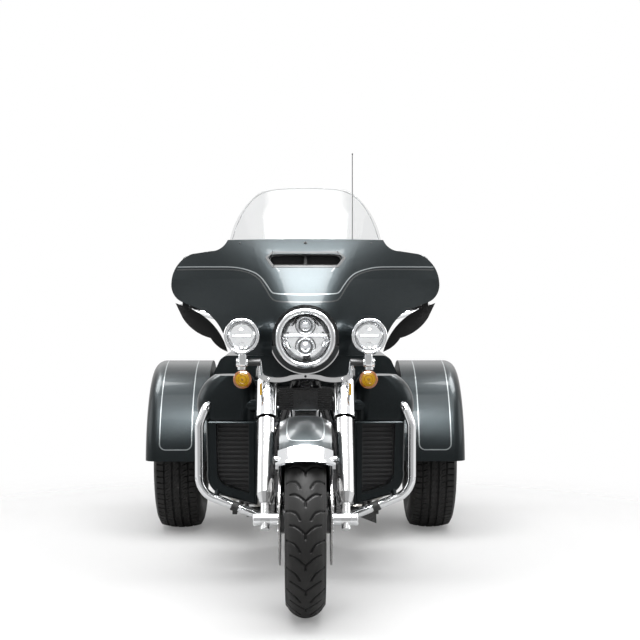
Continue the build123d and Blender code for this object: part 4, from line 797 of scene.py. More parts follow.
def ribbonShape(hits, width, lift=0.0005, closed=False):
    # a thin raised line that follows the hits, with its feet wider and just under the skin
    root, foot = -0.0006, 1.15
    points, faces = [], []
    count = len(hits)
    for i, (spot, normal) in enumerate(hits):
        before = hits[i - 1][0] if i or closed else spot
        after = hits[(i + 1) % count][0] if i < count - 1 or closed else spot
        along = (after - before).normalized()
        side = normal.cross(along).normalized() * width / 2
        top, low = normal * lift, normal * root
        points += [spot - side * foot + low, spot - side + top, spot + side + top, spot + side * foot + low]
    for i in range(count if closed else count - 1):
        a, b = i * 4, (i + 1) % count * 4
        faces += [[a + k, a + k + 1, b + k + 1, b + k] for k in range(3)] + [[a + 3, a, b, b + 3]]
    if not closed:
        faces += [[0, 3, 2, 1], [count * 4 - 4, count * 4 - 3, count * 4 - 2, count * 4 - 1]]
    return points, faces


def mirroredRibbons(look, node):
    # a line on the photograph's left, and the same line on its right
    twin = [(photoView["mirror"] - x, y) for x, y in look["path"]]
    lines = [photoLine(path, node, look["steps"]) for path in (look["path"], twin)]
    return [ribbonShape(hits, look["width"], look["lift"]) for hits in lines if len(hits) > 2]


def makeFairingLines():
    # paths are places in the photograph, from its left to its middle
    lines = {
        "light": {"width": 0.0036, "lift": 0.0005, "steps": 8, "path": [
            (177.8, 267.1), (197, 266.9), (219.2, 266.9), (234, 267.3), (245.1, 269.3), (255.2, 273.0),
            (261.7, 278.2), (267.3, 285.6), (271, 291.1), (275, 293.4), (289.5, 294.3), (305.5, 294.5)]},
        "shade": {"width": 0.0040, "lift": 0.0005, "steps": 8, "path": [
            (177.2, 269.9), (197, 269.6), (219.2, 269.5), (237.7, 270.2), (250.6, 273.6), (258.9, 279.1),
            (265.4, 288.4), (271, 297.6), (276.5, 300.9), (289.5, 301.9), (305.5, 302.1)]},
        "dash": {"width": 0.0030, "lift": 0.0005, "steps": 8, "path": [
            (276.0, 267.4), (277.6, 269.2), (279.4, 271.6)]},
        "vent": {"width": 0.0080, "lift": 0.0012, "steps": 4, "path": [
            (305.5, 252.4), (290, 252.4), (274.6, 252.4), (272.6, 252.7), (267.2, 257.0), (267.0, 258.2),
            (272.8, 265.9), (274.8, 266.5), (290, 266.5), (305.5, 266.5)]},
    }
    ribbons = {name: mirroredRibbons(look, "fairing_shell") for name, look in lines.items()}
    newPiece("fairingStripeLight", joined(*ribbons["light"]), "stripeSilver", "steering")
    newPiece("fairingStripeDark", joined(*ribbons["shade"], *ribbons["dash"]), "stripeDark", "steering")
    newPiece("ventBezel", joined(*ribbons["vent"]), "bladeBlack", "steering")


makeFairingLines()
print("fairing lines laid")


# lamps at the front: clear shells in front of the works behind them
def domeLine(radius, edge, top, steps):
    rise = top - edge
    ball = (radius * radius + rise * rise) / (2 * rise)
    return [(radius * (1 - i / steps), top - ball + math.sqrt(ball ** 2 - (radius * (1 - i / steps)) ** 2))
            for i in range(steps + 1)]


def shellProfile(radius, edge, top, back, wall):
    outer = [(radius, back)] + domeLine(radius, edge, top, 10)
    inner = [(r, h - wall) for r, h in reversed(domeLine(radius - wall, edge, top, 10))]
    return outer + inner + [(radius - wall, back), (radius, back)]


def crescent(inner, outer, start, end, steps, place, thick):
    ring = []
    for r, order in ((inner, range(steps + 1)), (outer, range(steps, -1, -1))):
        for i in order:
            angle = math.radians(start + (end - start) * i / steps)
            squeeze = 1.0 if r == outer else 1.0 + 0.12 * abs(2 * i / steps - 1)
            ring.append((r * squeeze * math.cos(angle), r * squeeze * math.sin(angle)))
    return plateShape(ring, thick, place)


def makeHeadlamp():
    # lengths along the lamp's axis count from its rim; plates hold (outline on one side, thickness)
    lamp = {"spot": Vector((0, behindFront(0.128), 0.915)), "out": (0, -1, 0), "lens": 0.0837,
            "shell": (-0.008, 0.006, -0.014, 0.003), "eyes": (0.044, -0.029), "eyeR": 0.0305, "bulb": 0.0075,
            "up": 0.009, "floor": -0.055,
            "bowl": [(0, -0.054), (0.060, -0.054), (0.063, -0.050), (0.070, -0.047), (0.0715, -0.043),
                     (0.0775, -0.036), (0.079, -0.030), (0.0815, -0.022), (0.0828, -0.016), (0.0828, -0.069),
                     (0, -0.069)],
            "bar": ((-0.077, -0.0068, -0.053), (0.077, 0.0068, -0.031)),
            "strip": ((-0.074, -0.0026, -0.0312), (0.074, 0.0026, -0.0296)),
            "plates": (([(0.034, 0.0125), (0.064, 0.0125), (0.056, 0.031), (0.047, 0.033)], 0.018),
                       ([(0.036, -0.0125), (0.066, -0.0125), (0.060, -0.022), (0.043, -0.019)], 0.014)),
            "crescents": ((-74, -22), (-150, -98)), "crescent": (0.046, 0.0625), "drop": (0, -0.013, -0.052),
            "rim": [(0.0785, -0.0265), (0.0808, -0.0225), (0.0812, -0.0235), (0.0790, -0.0280), (0.0785, -0.0265)]}
    turn, spot = frameOn(lamp["spot"], lamp["out"])
    place = Matrix.Translation(spot) @ turn @ Matrix.Translation((0, lamp["up"], 0))
    shape = spunShape(shellProfile(lamp["lens"], *lamp["shell"]), spot, lamp["out"], 96)
    shell = newPiece("headlampGlass", shape, "lampGlass", "steering", 60)
    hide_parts("headlamp_lens")
    parts, eyes, rings = [spunShape(lamp["bowl"], spot, lamp["out"], 96)], [], []
    for up in lamp["eyes"]:
        eye = spot + turn @ Vector((0, up, 0))
        r = lamp["eyeR"]
        bezel = [(r - 0.007, -0.052), (r - 0.007, -0.028), (r - 0.004, -0.022), (r - 0.001, -0.020),
                 (r + 0.001, -0.023), (r + 0.0015, -0.030), (r + 0.0015, -0.052), (r - 0.007, -0.052)]
        parts.append(spunShape(bezel, eye, lamp["out"], 64))
        r -= lamp["bulb"]
        bulb = [(0, -0.048), (r, -0.048), (r, -0.036)] + domeLine(r, -0.034, -0.0165, 8)[1:]
        eyes.append(spunShape(bulb, eye, lamp["out"], 48))
        near, far = r + 0.0103, r + 0.0126
        ring = [(near, -0.040), (far, -0.040), (far, -0.050), (near, -0.050), (near, -0.040)]
        rings.append(spunShape(ring, eye, lamp["out"], 64))
    parts.append(softBox(*lamp["bar"], 0.003, 2, place))
    for side, (start, end) in zip((1, -1), lamp["crescents"]):
        for outline, thick in lamp["plates"]:
            parts.append(plateShape([(side * x, y) for x, y in outline], thick,
                                    place @ Matrix.Translation((0, 0, lamp["floor"]))))
        parts.append(crescent(*lamp["crescent"], start, end, 12, place @ Matrix.Translation(lamp["drop"]), 0.020))
    works = newPiece("headlampWorks", joined(*parts), "lampMirror", "steering", 30)
    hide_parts("headlamp_reflector")
    newPiece("headlampEyes", joined(*eyes), "lampEye", "steering", 40)
    newPiece("headlampStrip", softBox(*lamp["strip"], 0.0006, 1, place), "paintedGlowWhite", "steering")
    rings.append(spunShape(lamp["rim"], spot, lamp["out"], 96))
    newPiece("headlampSeals", joined(*rings), "glossBlack", "steering")


def makePassingLamps():
    # lengths along the lamp's axis count from the floor of its dish; plates hold (outline, thickness)
    lamp = {"x": 0.218, "z": 0.923, "out": (0, -1, 0), "lens": 0.0507, "shell": (-0.004, 0.003, -0.014, 0.002),
            "floor": -0.0155, "cupAside": 0.031,
            "dish": [(0, 0), (0.040, 0), (0.0455, 0.004), (0.0485, 0.0085), (0.0485, -0.0004), (0, -0.0004)],
            "hood": ([(-0.030, 0.0085), (0.030, 0.0085), (0.0215, 0.0235), (-0.0215, 0.0235)], 0.0048),
            "ear": ([(0.0365, -0.014), (0.0435, -0.004), (0.0435, 0.004), (0.0365, 0.014)], 0.0055),
            "cup": [(0, 0.004), (0.006, 0.0045), (0.011, 0.007), (0.0115, 0), (0, 0)],
            "bar": ((-0.034, -0.0052, 0), (0.034, 0.0052, 0.0075)),
            "strip": ((-0.031, -0.0021, 0.0074), (0.031, 0.0021, 0.0084)),
            "seal": [(0.0470, 0.0090), (0.0486, 0.0112), (0.0490, 0.0090), (0.0474, 0.0072), (0.0470, 0.0090)]}
    shells, works, strips, seals = [], [], [], []
    for side in (1, -1):
        rim = Vector((side * lamp["x"], behindFront(0.128), lamp["z"]))
        turn, _ = frameOn(rim, lamp["out"])
        spot = rim + turn @ Vector((0, 0, lamp["floor"]))
        place = Matrix.Translation(spot) @ turn
        shells.append(spunShape(shellProfile(lamp["lens"], *lamp["shell"]), rim, lamp["out"], 72))
        works += [spunShape(lamp["dish"], spot, lamp["out"], 72), softBox(*lamp["bar"], 0.002, 2, place)]
        for way in (1, -1):
            (hood, hoodThick), (ear, earThick) = lamp["hood"], lamp["ear"]
            works += [plateShape([(x, way * y) for x, y in hood], hoodThick, place),
                      plateShape([(way * x, y) for x, y in ear], earThick, place),
                      spunShape(lamp["cup"], spot + turn @ Vector((0, way * lamp["cupAside"], 0)), lamp["out"], 32)]
        strips.append(softBox(*lamp["strip"], 0.0004, 1, place))
        seals.append(spunShape(lamp["seal"], spot, lamp["out"], 72))
    glass = newPiece("passingGlass", joined(*shells), "lampGlass", "steering", 60)
    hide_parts("passing_lenses")
    newPiece("passingWorks", joined(*works), "lampMirror", "steering", 30)
    newPiece("passingStrips", joined(*strips), "paintedGlowWhite", "steering")
    newPiece("passingSeals", joined(*seals), "glossBlack", "steering")


def makeSignals():
    # rings hold (inner radius, outer radius, low, high)
    lamp = {"x": 0.216, "z": 0.774, "out": (0, -1, 0),
            "dot": [(0, 0.0135), (0.00385, 0.0131), (0.0055, 0.0112), (0, 0.0102)],
            "rings": ((0.0125, 0.0165, 0.0088, 0.0112), (0.0195, 0.0215, 0.0062, 0.0084)),
            "rim": [(0.0240, 0.0062), (0.0272, 0.0042), (0.0306, 0.0020), (0.0316, 0.0005), (0.0312, -0.0045),
                    (0.0296, -0.0045), (0.0290, 0.0010), (0.0240, 0.0040), (0.0240, 0.0062)]}
    rings, rims = [], []
    for side in (1, -1):
        spot = Vector((side * lamp["x"], behindFront(0.150), lamp["z"]))
        rings.append(spunShape(lamp["dot"], spot, lamp["out"], 40))
        for inner, outer, low, high in lamp["rings"]:
            mid = (inner + outer) / 2
            profile = [(inner, low + 0.0004), (mid, high), (outer, low - 0.0008), (mid, low - 0.0014),
                       (inner, low + 0.0004)]
            rings.append(spunShape(profile, spot, lamp["out"], 40))
        rims.append(spunShape(lamp["rim"], spot, lamp["out"], 64))
    # the rings, the middle dot and the rim are a darker amber than the lens: painted shade where the clear lens bends
    # the light
    newPiece("signalRings", joined(*rings), "amberRingShade", "steering")
    newPiece("signalRims", joined(*rims), "amberRim", "steering")


makeHeadlamp()
makePassingLamps()
makeSignals()
print("front lamps made")


# small trim on the front: reflectors, clamps, the screen's edge and the lamps' posts
def bandShape(spot, along, inner, outer, length):
    half, cut = length / 2, 0.0008
    profile = [(inner, -half), (outer - cut, -half), (outer, cut - half), (outer, half - cut), (outer - cut, half),
               (inner, half), (inner, -half)]
    return spunShape(profile, spot, along, 40)


def makeFrontTrim():
    # bands hold (middle, direction, inner radius, outer radius, length), blocks their two corners
    trim = {"reflector": {"path": [(260.7, 383.6), (260.7, 387), (260.7, 391), (260.7, 395)], "steps": 4,
                          "width": 0.010, "lift": 0.0012},
            "edge": {"path": [(232.4, 239.4), (238.4, 222.0), (247.6, 205.8), (258.6, 195.2), (271.4, 190.4),
                              (287.8, 188.8), (305.5, 188.4)], "steps": 8, "width": 0.0022, "lift": 0.0003},
            "clamp": ((0.259, -0.562, 0.2892), (-0.210, 0.010, -0.086), 0.0154, 0.0186, 0.027),
            "ear": ((0.250, -0.5685, 0.2600), (0.268, -0.5555, 0.2745)),
            "post": ((0.201, behindFront(0.139), 0.8185), (0.229, behindFront(0.181), 0.8640)),
            "neck": ((0.218, behindFront(0.160), 0.812), (0, 0, 1), 0.0100, 0.0145, 0.012),
            "sleeve": ((0.176, behindFront(0.160), 0.832), (1, 0, 0), 0.0088, 0.0125, 0.044)}
    pills, edge = mirroredRibbons(trim["reflector"], "fork_legs"), mirroredRibbons(trim["edge"], "windscreen")
    newPiece("forkReflectors", joined(*pills), "amberLens", "steering")
    clamp = joined(bandShape(*trim["clamp"]), softBox(*trim["ear"], 0.002, 2))
    newPiece("guardClamps", bothSides(clamp), "softRubber", "frame")
    post = joined(softBox(*trim["post"], 0.007, 3), bandShape(*trim["neck"]))
    newPiece("lampPostClamps", bothSides(post), "chromePlate", "steering")
    newPiece("lampArmSleeves", bothSides(bandShape(*trim["sleeve"])), "blackPlastic", "steering")
    # a grey line along the windscreen's edge: painted shade for the edge of the clear screen
    newPiece("screenEdge", joined(*edge), "screenEdge", "steering")


makeFrontTrim()
print("front trim set")


# lines on the fenders
def rearFenderLoop(rear):
    # places round the loop as (x, degrees from straight ahead), with rounded corners
    corner = rear["corner"]
    turnDeg = math.degrees(corner / rear["radius"])
    far, near = rear["outer"] - corner, rear["inner"] + corner
    front, back = rear["low"] + turnDeg, 180 - rear["low"] - turnDeg
    loop = []
    for cx, ca, start in ((far, front, -90), (far, back, 0), (near, back, 90), (near, front, 180)):
        for i in range(7):
            angle = math.radians(start + 15 * i)
            loop.append((cx + corner * math.cos(angle), ca + turnDeg * math.sin(angle)))
    full = []
    for (xa, da), (xb, db) in zip(loop, loop[1:] + loop[:1]):
        count = max(1, int(max(abs(db - da) / 2.0, abs(xb - xa) / 0.02)))
        full += [(xa + (xb - xa) * i / count, da + (db - da) * i / count) for i in range(count)]
    return full


def makeFenderLines():
    rear = {"inner": 0.487, "outer": 0.624, "low": 10.3, "corner": 0.026, "radius": 0.440, "width": 0.0042,
            "from": 0.8}
    # the front panel's left half, as places in the photograph
    front = {"top": (305.5, 416.6), "low": (305.5, 440.8), "steps": 5, "width": 0.003,
             "half": [(294, 416.9), (289.4, 418.4), (287.6, 422), (286.8, 430), (287.6, 436.6), (290, 439.6),
                      (296, 440.6)]}
    shapes = []
    for side in (1, -1):
        hits = []
        for x, deg in rearFenderLoop(rear):
            out = Vector((0, -math.cos(math.radians(deg)), math.sin(math.radians(deg))))
            axle = trike["rearAxle"] + Vector((side * x, 0, 0))
            hits.append(castOn("rear_fenders", axle + out * rear["from"], -out))
        shapes.append(ribbonShape([hit for hit in hits if hit], rear["width"], closed=True))
    newPiece("rearFenderStripe", joined(*shapes), "stripeSilver", "frame")
    other = [(photoView["mirror"] - x, y) for x, y in reversed(front["half"])]
    panel = [front["top"], *front["half"], front["low"], *other, front["top"]]
    line = ribbonShape(photoLine(panel, "front_fender", front["steps"])[:-1], front["width"], closed=True)
    newPiece("frontFenderStripe", line, "stripeSilver", "steering")


makeFenderLines()
print("fender lines laid")


# screws and bolts
def buttonHead():
    # a domed head with a six-sided socket, one unit across its radius
    rows = [(0.0, 0.15), (0.38, 0.15), (0.42, 0.62), (0.66, 0.56), (0.9, 0.36), (1.0, 0.1), (1.0, -0.2), (0.0, -0.2)]
    return spunShape(rows, (0, 0, 0), (0, 0, 1), 12)


def hexHead():
    rows = [(0.0, 0.72), (0.78, 0.72), (0.86, 0.66), (0.86, 0.06), (1.12, 0.06), (1.15, 0.0), (1.15, -0.2), (0.0, -0.2)]
    return spunShape(rows, (0, 0, 0), (0, 0, 1), 6)


def boltCircle(radius, first):
    # five places on a circle, as two offsets from its middle
    angles = [math.radians(72 * i + first) for i in range(5)]
    return [(radius * math.cos(angle), radius * math.sin(angle)) for angle in angles]


def makeFasteners():
    # (column and row in the photograph, node, size, kind)
    screws = ((240, 243.2, "fairing_shell", 0.0032, "dark"), (305.5, 243.0, "fairing_shell", 0.0062, "dark"),
              (371, 243.2, "fairing_shell", 0.0032, "dark"), (268.7, 379.6, "fork_bracket", 0.006, "bright"),
              (342.3, 379.6, "fork_bracket", 0.006, "bright"), (305.5, 376.4, "fork_bracket", 0.0045, "dark"),
              (279.0, 459.0, "fender_tip", 0.0046, "bright"), (332.0, 459.0, "fender_tip", 0.0046, "bright"))
    bolts = {"disc": {"x": 0.0876, "circle": 0.042, "first": 20, "size": 0.007},
             "hub": {"circle": 0.055, "first": 0, "size": 0.011, "from": 0.9},
             "cover": {"u": 1.07, "z": 0.326, "circle": 0.047, "first": 90, "size": 0.0055, "from": 0.5},
             "edge": {"us": (0.735, 0.80, 0.90, 1.0, 1.10, 1.135), "zs": (0.255, 0.397), "size": 0.005, "flat": 0.6}}
    button, hexagon = headObject("buttonHead", buttonHead()), headObject("hexHead", hexHead())
    spots = {"dark": [], "bright": []}
    for px, py, node, size, kind in screws:
        found = photoSpot(px, py, node)
        if found:
            spots[kind].append((*found, size))
        else:
            print("no place for a screw at", px, py)
    placedHeads("frontScrewsDark", button, spots["dark"], "bladeBlack", "steering")
    placedHeads("frontScrewsBright", button, spots["bright"], "chromePlate", "steering")
    # bolts round the discs' carriers and in the hubs of the rear wheels
    disc, hub = bolts["disc"], bolts["hub"]
    discs = [(trike["frontAxle"] + Vector((side * disc["x"], y, z)), (side, 0, 0), disc["size"])
             for side in (1, -1) for y, z in boltCircle(disc["circle"], disc["first"])]
    placedHeads("discBolts", hexagon, discs, "boltSteel", "front_wheel")
    for side, body in ((1, "rear_wheel_left"), (-1, "rear_wheel_right")):
        rim, inward = body.replace("wheel", "rim"), Vector((-side, 0, 0))
        found = [castOn(rim, trike["rearAxle"] + Vector((side * hub["from"], y, z)), inward)
                 for y, z in boltCircle(hub["circle"], hub["first"])]
        nuts = [(hit[0], (side, 0, 0), hub["size"]) for hit in found if hit]
        placedHeads(body.replace("_", "") + "Nuts", hexagon, nuts, "chromePlate", body)
    # the round cover of the engine, then the long one's edges
    cover, edge, inward = bolts["cover"], bolts["edge"], Vector((-1, 0, 0))
    found = [castOn("engine_covers", Vector((cover["from"], behindFront(cover["u"]) + y, cover["z"] + z)), inward)
             for y, z in boltCircle(cover["circle"], cover["first"])]
    covers = [(hit[0], (1, 0, 0), cover["size"]) for hit in found if hit]
    found = [castOn("engine_covers", Vector((cover["from"], behindFront(u), z)), inward)
             for u in edge["us"] for z in edge["zs"]]
    covers += [(*hit, edge["size"]) for hit in found if hit and hit[1].x > edge["flat"]]
    placedHeads("engineCoverBolts", button, covers, "boltSteel", "frame")
    for head in (button, hexagon):
        bpy.data.objects.remove(head)


makeFasteners()
print("screws and bolts set")


# seat and backrest: sewn covers blown out over their foam
def steppedRow(table, y):
    for low, high in zip(table, table[1:]):
        if low[0] <= y <= high[0]:
            t = (y - low[0]) / (high[0] - low[0])
            return [a + (b - a) * t for a, b in zip(low, high)]
    return list(table[-1])


def squarish(value, power):
    # bends a circle's cosine or sine towards a square
    return math.copysign(abs(value) ** power, value)


def saddleShape(table, steps, around):
    # rings across the seat, from its front to its back, with a squarish outline
    first, last = table[0][0], table[-1][0]
    points, faces = [], []
    for i in range(steps + 1):
        y, half, low, top = steppedRow(table, first + (last - first) * i / steps)
        middle, rise = (low + top) / 2, (top - low) / 2
        for j in range(around):
            angle = 2 * math.pi * j / around
            points.append((half * squarish(math.cos(angle), 0.55), y, middle + rise * squarish(math.sin(angle), 0.6)))
    for i in range(steps):
        for j in range(around):
            a, b = i * around + j, i * around + (j + 1) % around
            faces.append([a, b, b + around, a + around])
    faces.append(list(range(around))[::-1])
    faces.append([steps * around + j for j in range(around)])
    return points, faces


def cushion(name, shape, look, held, body):
    mesh = closedMesh(name + "Start", shape)
    piece = bpy.data.objects.new(name + "Start", mesh)
    scene.collection.objects.link(piece)
    remesh = piece.modifiers.new("remesh", "REMESH")
    remesh.mode = "VOXEL"
    remesh.voxel_size = look["voxel"]
    piece.data = bpy.data.meshes.new_from_object(piece.evaluated_get(bpy.context.evaluated_depsgraph_get()))
    piece.modifiers.remove(remesh)
    start = [v.co.copy() for v in piece.data.vertices]
    pins = piece.vertex_groups.new(name="held")
    pins.add([i for i, co in enumerate(start) if held(co)], 1.0, "REPLACE")
    cloth = piece.modifiers.new("cloth", "CLOTH")
    cloth.settings.use_pressure = True
    cloth.settings.uniform_pressure_force = look["pressure"]
    cloth.settings.vertex_group_mass = "held"
    cloth.settings.effector_weights.gravity = 0.0
    cloth.settings.quality = look["quality"]
    cloth.collision_settings.use_collision = False
    cloth.point_cache.frame_start = 1
    cloth.point_cache.frame_end = look["frames"]
    for step in range(1, look["frames"] + 1):
        scene.frame_set(step)
    blown = bpy.data.meshes.new_from_object(piece.evaluated_get(bpy.context.evaluated_depsgraph_get()))
    piece.modifiers.remove(cloth)
    for vertex, old, new in zip(piece.data.vertices, start, blown.vertices):
        move = new.co - old
        vertex.co = old + move * min(1.0, look["cap"] / max(move.length, 1e-9))
    scene.frame_set(1)
    finer = piece.modifiers.new("finer", "SUBSURF")
    finer.levels = finer.render_levels = 1
    mesh = bpy.data.meshes.new_from_object(piece.evaluated_get(bpy.context.evaluated_depsgraph_get()))
    bpy.data.objects.remove(piece)
    pad = dressMesh(name, mesh, "seatVinyl", body, 180.0)
    return pad


def hitLine(pad, rays):
    skin = BVHTree.FromObject(pad, bpy.context.evaluated_depsgraph_get())
    hits = [skin.ray_cast(start, aim)[0] for start, aim in rays]
    return [hit for hit in hits if hit is not None]


def makeSeat():
    foam = {"voxel": 0.0055, "pressure": 4.0, "quality": 5, "frames": 20}
    # tables hold (place along, half width, underside, top)
    rider = {**foam, "cap": 0.006, "fill": 0.7, "table": [
        (-0.150, 0.080, 0.750, 0.770), (-0.120, 0.100, 0.744, 0.761), (-0.070, 0.120, 0.732, 0.749),
        (-0.055, 0.124, 0.704, 0.744), (0.0, 0.134, 0.695, 0.736), (0.08, 0.146, 0.695, 0.735),
        (0.16, 0.152, 0.695, 0.740), (0.23, 0.153, 0.695, 0.752), (0.29, 0.152, 0.695, 0.776),
        (0.334, 0.150, 0.698, 0.800), (0.343, 0.146, 0.716, 0.804)]}
    pillion = {**foam, "cap": 0.006, "fill": 0.75, "table": [
        (0.353, 0.146, 0.730, 0.814), (0.372, 0.150, 0.766, 0.829), (0.398, 0.152, 0.806, 0.840),
        (0.45, 0.154, 0.806, 0.846), (0.54, 0.154, 0.806, 0.849), (0.574, 0.148, 0.808, 0.846)]}
    seam = {"inset": 0.012, "steps": 24, "height": 0.66, "from": 0.3, "radius": 0.0032, "held": 0.007}
    pads, lines = [], []
    for name, look in (("riderSeat", rider), ("pillionSeat", pillion)):
        table = look["table"]
        pad = cushion(name, saddleShape(table, 40, 44), look,
                      lambda co, table=table: co.z < steppedRow(table, co.y)[2] + seam["held"], "frame")
        pads.append(pad)
        first, last = table[0][0] + seam["inset"], table[-1][0] - seam["inset"]
        rows = [steppedRow(table, first + (last - first) * i / seam["steps"]) for i in range(seam["steps"] + 1)]
        spots = [(y, low + (top - low) * seam["height"]) for y, half, low, top in rows]
        rays = [(Vector((side * seam["from"], y, z)), Vector((-side, 0, 0)))
                for side, row in ((1, spots), (-1, spots[::-1])) for y, z in row]
        lines.append(tubeShape(hitLine(pad, rays), seam["radius"], 8, True))
    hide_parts("seat")
    newPiece("seatPiping", joined(*lines), "pipingVinyl", "frame")
    back = {**foam, "low": (-0.178, 0.596, 0.898), "high": (0.178, 0.628, 1.094), "corner": 0.014, "cap": 0.007,
            "fill": 0.7, "held": 0.6255, "middle": Vector((0, 0.606, 0.996)), "half": (0.186, 0.106), "square": 0.3,
            "from": 1.4, "piping": 0.003}
    block = softBox(back["low"], back["high"], back["corner"], 4)
    pad = cushion("backrestPad", block, back, lambda co: co.y > back["held"], "frame")
    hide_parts("backrest")
    rays = []
    for i in range(64):
        angle = 2 * math.pi * i / 64
        x, z = (squarish(c, back["square"]) for c in (math.cos(angle), math.sin(angle)))
        out = Vector((back["half"][0] * x, 0.0, back["half"][1] * z))
        rays.append((back["middle"] + out * back["from"], -out.normalized()))
    newPiece("backrestPiping", tubeShape(hitLine(pad, rays), back["piping"], 8, True), "pipingVinyl", "frame")


makeSeat()
print("seat and backrest sewn")


# what the rider sees: dials, speakers, display, mirrors, grips and boards
def roundedOutline(wide, high, corner, steps=6):
    ring = []
    for cx, cy, start in ((1, 1, 0), (-1, 1, 90), (-1, -1, 180), (1, -1, 270)):
        for i in range(steps + 1):
            angle = math.radians(start + 90 * i / steps)
            ring.append((cx * (wide / 2 - corner) + corner * math.cos(angle),
                         cy * (high / 2 - corner) + corner * math.sin(angle)))
    return ring


def ringPiece(name, shape, count, axle, turn, finish, body):
    mesh = grown(closedMesh(name + "Start", shape), ringOfCopies, {
        "Count": count, "Axle": axle, "Turn": turn, "Merge": 0.00001, "Finish": finishes[finish]})
    return dressMesh(name, mesh, finish, body)


def rowPiece(name, shape, count, step, finish, body):
    mesh = grown(closedMesh(name + "Start", shape), rowOfCopies, {
        "Count": count, "Step": step, "Finish": finishes[finish]})
    return dressMesh(name, mesh, finish, body)


riderWay = (0, 1, 0)
ringTurn = (0, 0, math.radians(90))   # carries a ring round X to one that faces the rider
bothNames = ((1, "left"), (-1, "right"))


def facingRider(spot):
    return Matrix.Translation(spot) @ frameOn(spot, riderWay)[0]


def makeDials():
    # (name, x, z, radius, where the needle points in degrees)
    dials = (("leftDial", 0.066, 1.150, 0.052, 215), ("rightDial", -0.066, 1.150, 0.052, 240),
             ("leftSmallDial", 0.150, 1.128, 0.030, 160), ("rightSmallDial", -0.150, 1.128, 0.030, 200))
    face, ticks = -0.542, 40
    bezels, needles, hubs = [], [], []
    for name, x, z, r, aim in dials:
        spot = Vector((x, face, z))
        tick = softBox((-0.0002, -0.0009, r * 0.80), (0.0007, 0.0009, r * 0.91), 0.0002, 1)
        ringPiece(name + "Ticks", tick, ticks, spot, ringTurn, "paintedGlowWhite", "steering")
        bezel = [(r - 0.0035, -0.001), (r - 0.0035, 0.002), (r - 0.002, 0.0045), (r, 0.003), (r + 0.0012, -0.001),
                 (r - 0.0035, -0.001)]
        bezels.append(spunShape(bezel, spot, riderWay, 56))
        needle = [(-r * 0.15, -0.0016), (r * 0.78, -0.0005), (r * 0.78, 0.0005), (-r * 0.15, 0.0016)]
        swing = facingRider(spot) @ Matrix.Rotation(math.radians(aim), 4, "Z")
        needles.append(plateShape(needle, 0.0009, swing @ Matrix.Translation((0, 0, 0.0006))))
        hub = [(0, 0.0026), (r * 0.09, 0.0020), (r * 0.12, 0), (0, -0.0006)]
        hubs.append(spunShape(hub, spot, riderWay, 24))
    newPiece("dialBezels", joined(*bezels), "chromePlate", "steering")
    newPiece("dialNeedles", joined(*needles), "needleRed", "steering")
    newPiece("dialHubs", joined(*hubs), "glossBlack", "steering")


def makeSpeakers():
    speaker = {"x": 0.268, "y": -0.5385, "z": 1.090, "rings": (0.012, 0.021, 0.030, 0.039, 0.048), "wide": 0.0022,
               "high": 0.0016, "bars": 18}
    for side, name in bothNames:
        spot = Vector((side * speaker["x"], speaker["y"], speaker["z"]))
        rings = []
        for r in speaker["rings"]:
            far, high = r + speaker["wide"], speaker["high"]
            rings.append(spunShape([(r, 0), (r, high), (far, high), (far, 0), (r, 0)], spot, riderWay, 48))
        cone = spunShape([(0, 0.0012), (0.011, 0.0006), (0.0118, -0.0004), (0, -0.0010)], spot, riderWay, 32)
        newPiece(name + "SpeakerRings", joined(*rings, cone), "grilleBlack", "steering")
        bar = softBox((-0.0004, -0.0012, 0.010), (0.0014, 0.0012, 0.0575), 0.0004, 1)
        ringPiece(name + "SpeakerBars", bar, speaker["bars"], spot, ringTurn, "grilleBlack", "steering")


def makeGlasses():
    # sizes hold (width, height, corner)
    display = {"size": (0.156, 0.050, 0.004), "thick": 0.0012, "spot": (0, -0.5462, 1.060)}
    mirror = {"size": (0.136, 0.070, 0.030), "thick": 0.0013, "spot": (0.388, -0.4503, 1.180), "tilt": 10}
    pane = plateShape(roundedOutline(*display["size"]), display["thick"], facingRider(display["spot"]))
    newPiece("displayGlass", pane, "glossBlack", "steering")
    glass = []
    for side in (1, -1):
        x, y, z = mirror["spot"]
        place = facingRider((side * x, y, z)) @ Matrix.Rotation(math.radians(side * mirror["tilt"]), 4, "Z")
        glass.append(plateShape(roundedOutline(*mirror["size"]), mirror["thick"], place))
    newPiece("mirrorGlass", joined(*glass), "mirrorSilver", "steering")


def makeGripsAndBoards():
    grip = {"end": (0.438, behindFront(0.790), 1.030), "inner": (0.420, behindFront(0.600), 1.004), "first": 0.012,
            "rib": (0.0165, 0.0184, 0.0042), "ribs": 15, "step": 0.0074,
            "cap": [(0, 0.0065), (0.010, 0.006), (0.0165, 0.003), (0.0180, 0.0), (0.0180, -0.004), (0, -0.004)]}
    board = {"x": (0.233, 0.329), "inset": 0.006, "ribs": 18, "step": 0.0168}
    for side, name in bothNames:
        end, inner = (Vector((side * x, y, z)) for x, y, z in (grip["end"], grip["inner"]))
        along = (inner - end).normalized()
        rib = bandShape(end + along * grip["first"], along, *grip["rib"])
        rowPiece(name + "GripRibs", rib, grip["ribs"], along * grip["step"], "softRubber", "steering")
        newPiece(name + "GripCap", spunShape(grip["cap"], end, -along, 32), "chromePlate", "steering")
        x1, x2 = sorted(side * x for x in board["x"])
        pad = softBox((x1, -0.276, 0.3006), (x2, 0.024, 0.3050), 0.002, 2)
        newPiece(name + "BoardPad", pad, "softRubber", "frame")
        rib = softBox((x1 + board["inset"], -0.268, 0.3046), (x2 - board["inset"], -0.259, 0.3075), 0.0012, 1)
        rowPiece(name + "BoardRibs", rib, board["ribs"], (0, board["step"], 0), "softRubber", "frame")


makeDials()
makeSpeakers()
makeGlasses()
makeGripsAndBoards()
print("cockpit fitted")


# the back: plate, pull, tail lamps, latches and pipe ends
def outlineTube(size, spot, radius, sides):
    # a bead round an upright outline of (width, height, corner)
    return tubeShape([Vector(spot) + Vector((x, 0, z)) for x, z in roundedOutline(*size)], radius, sides, True)


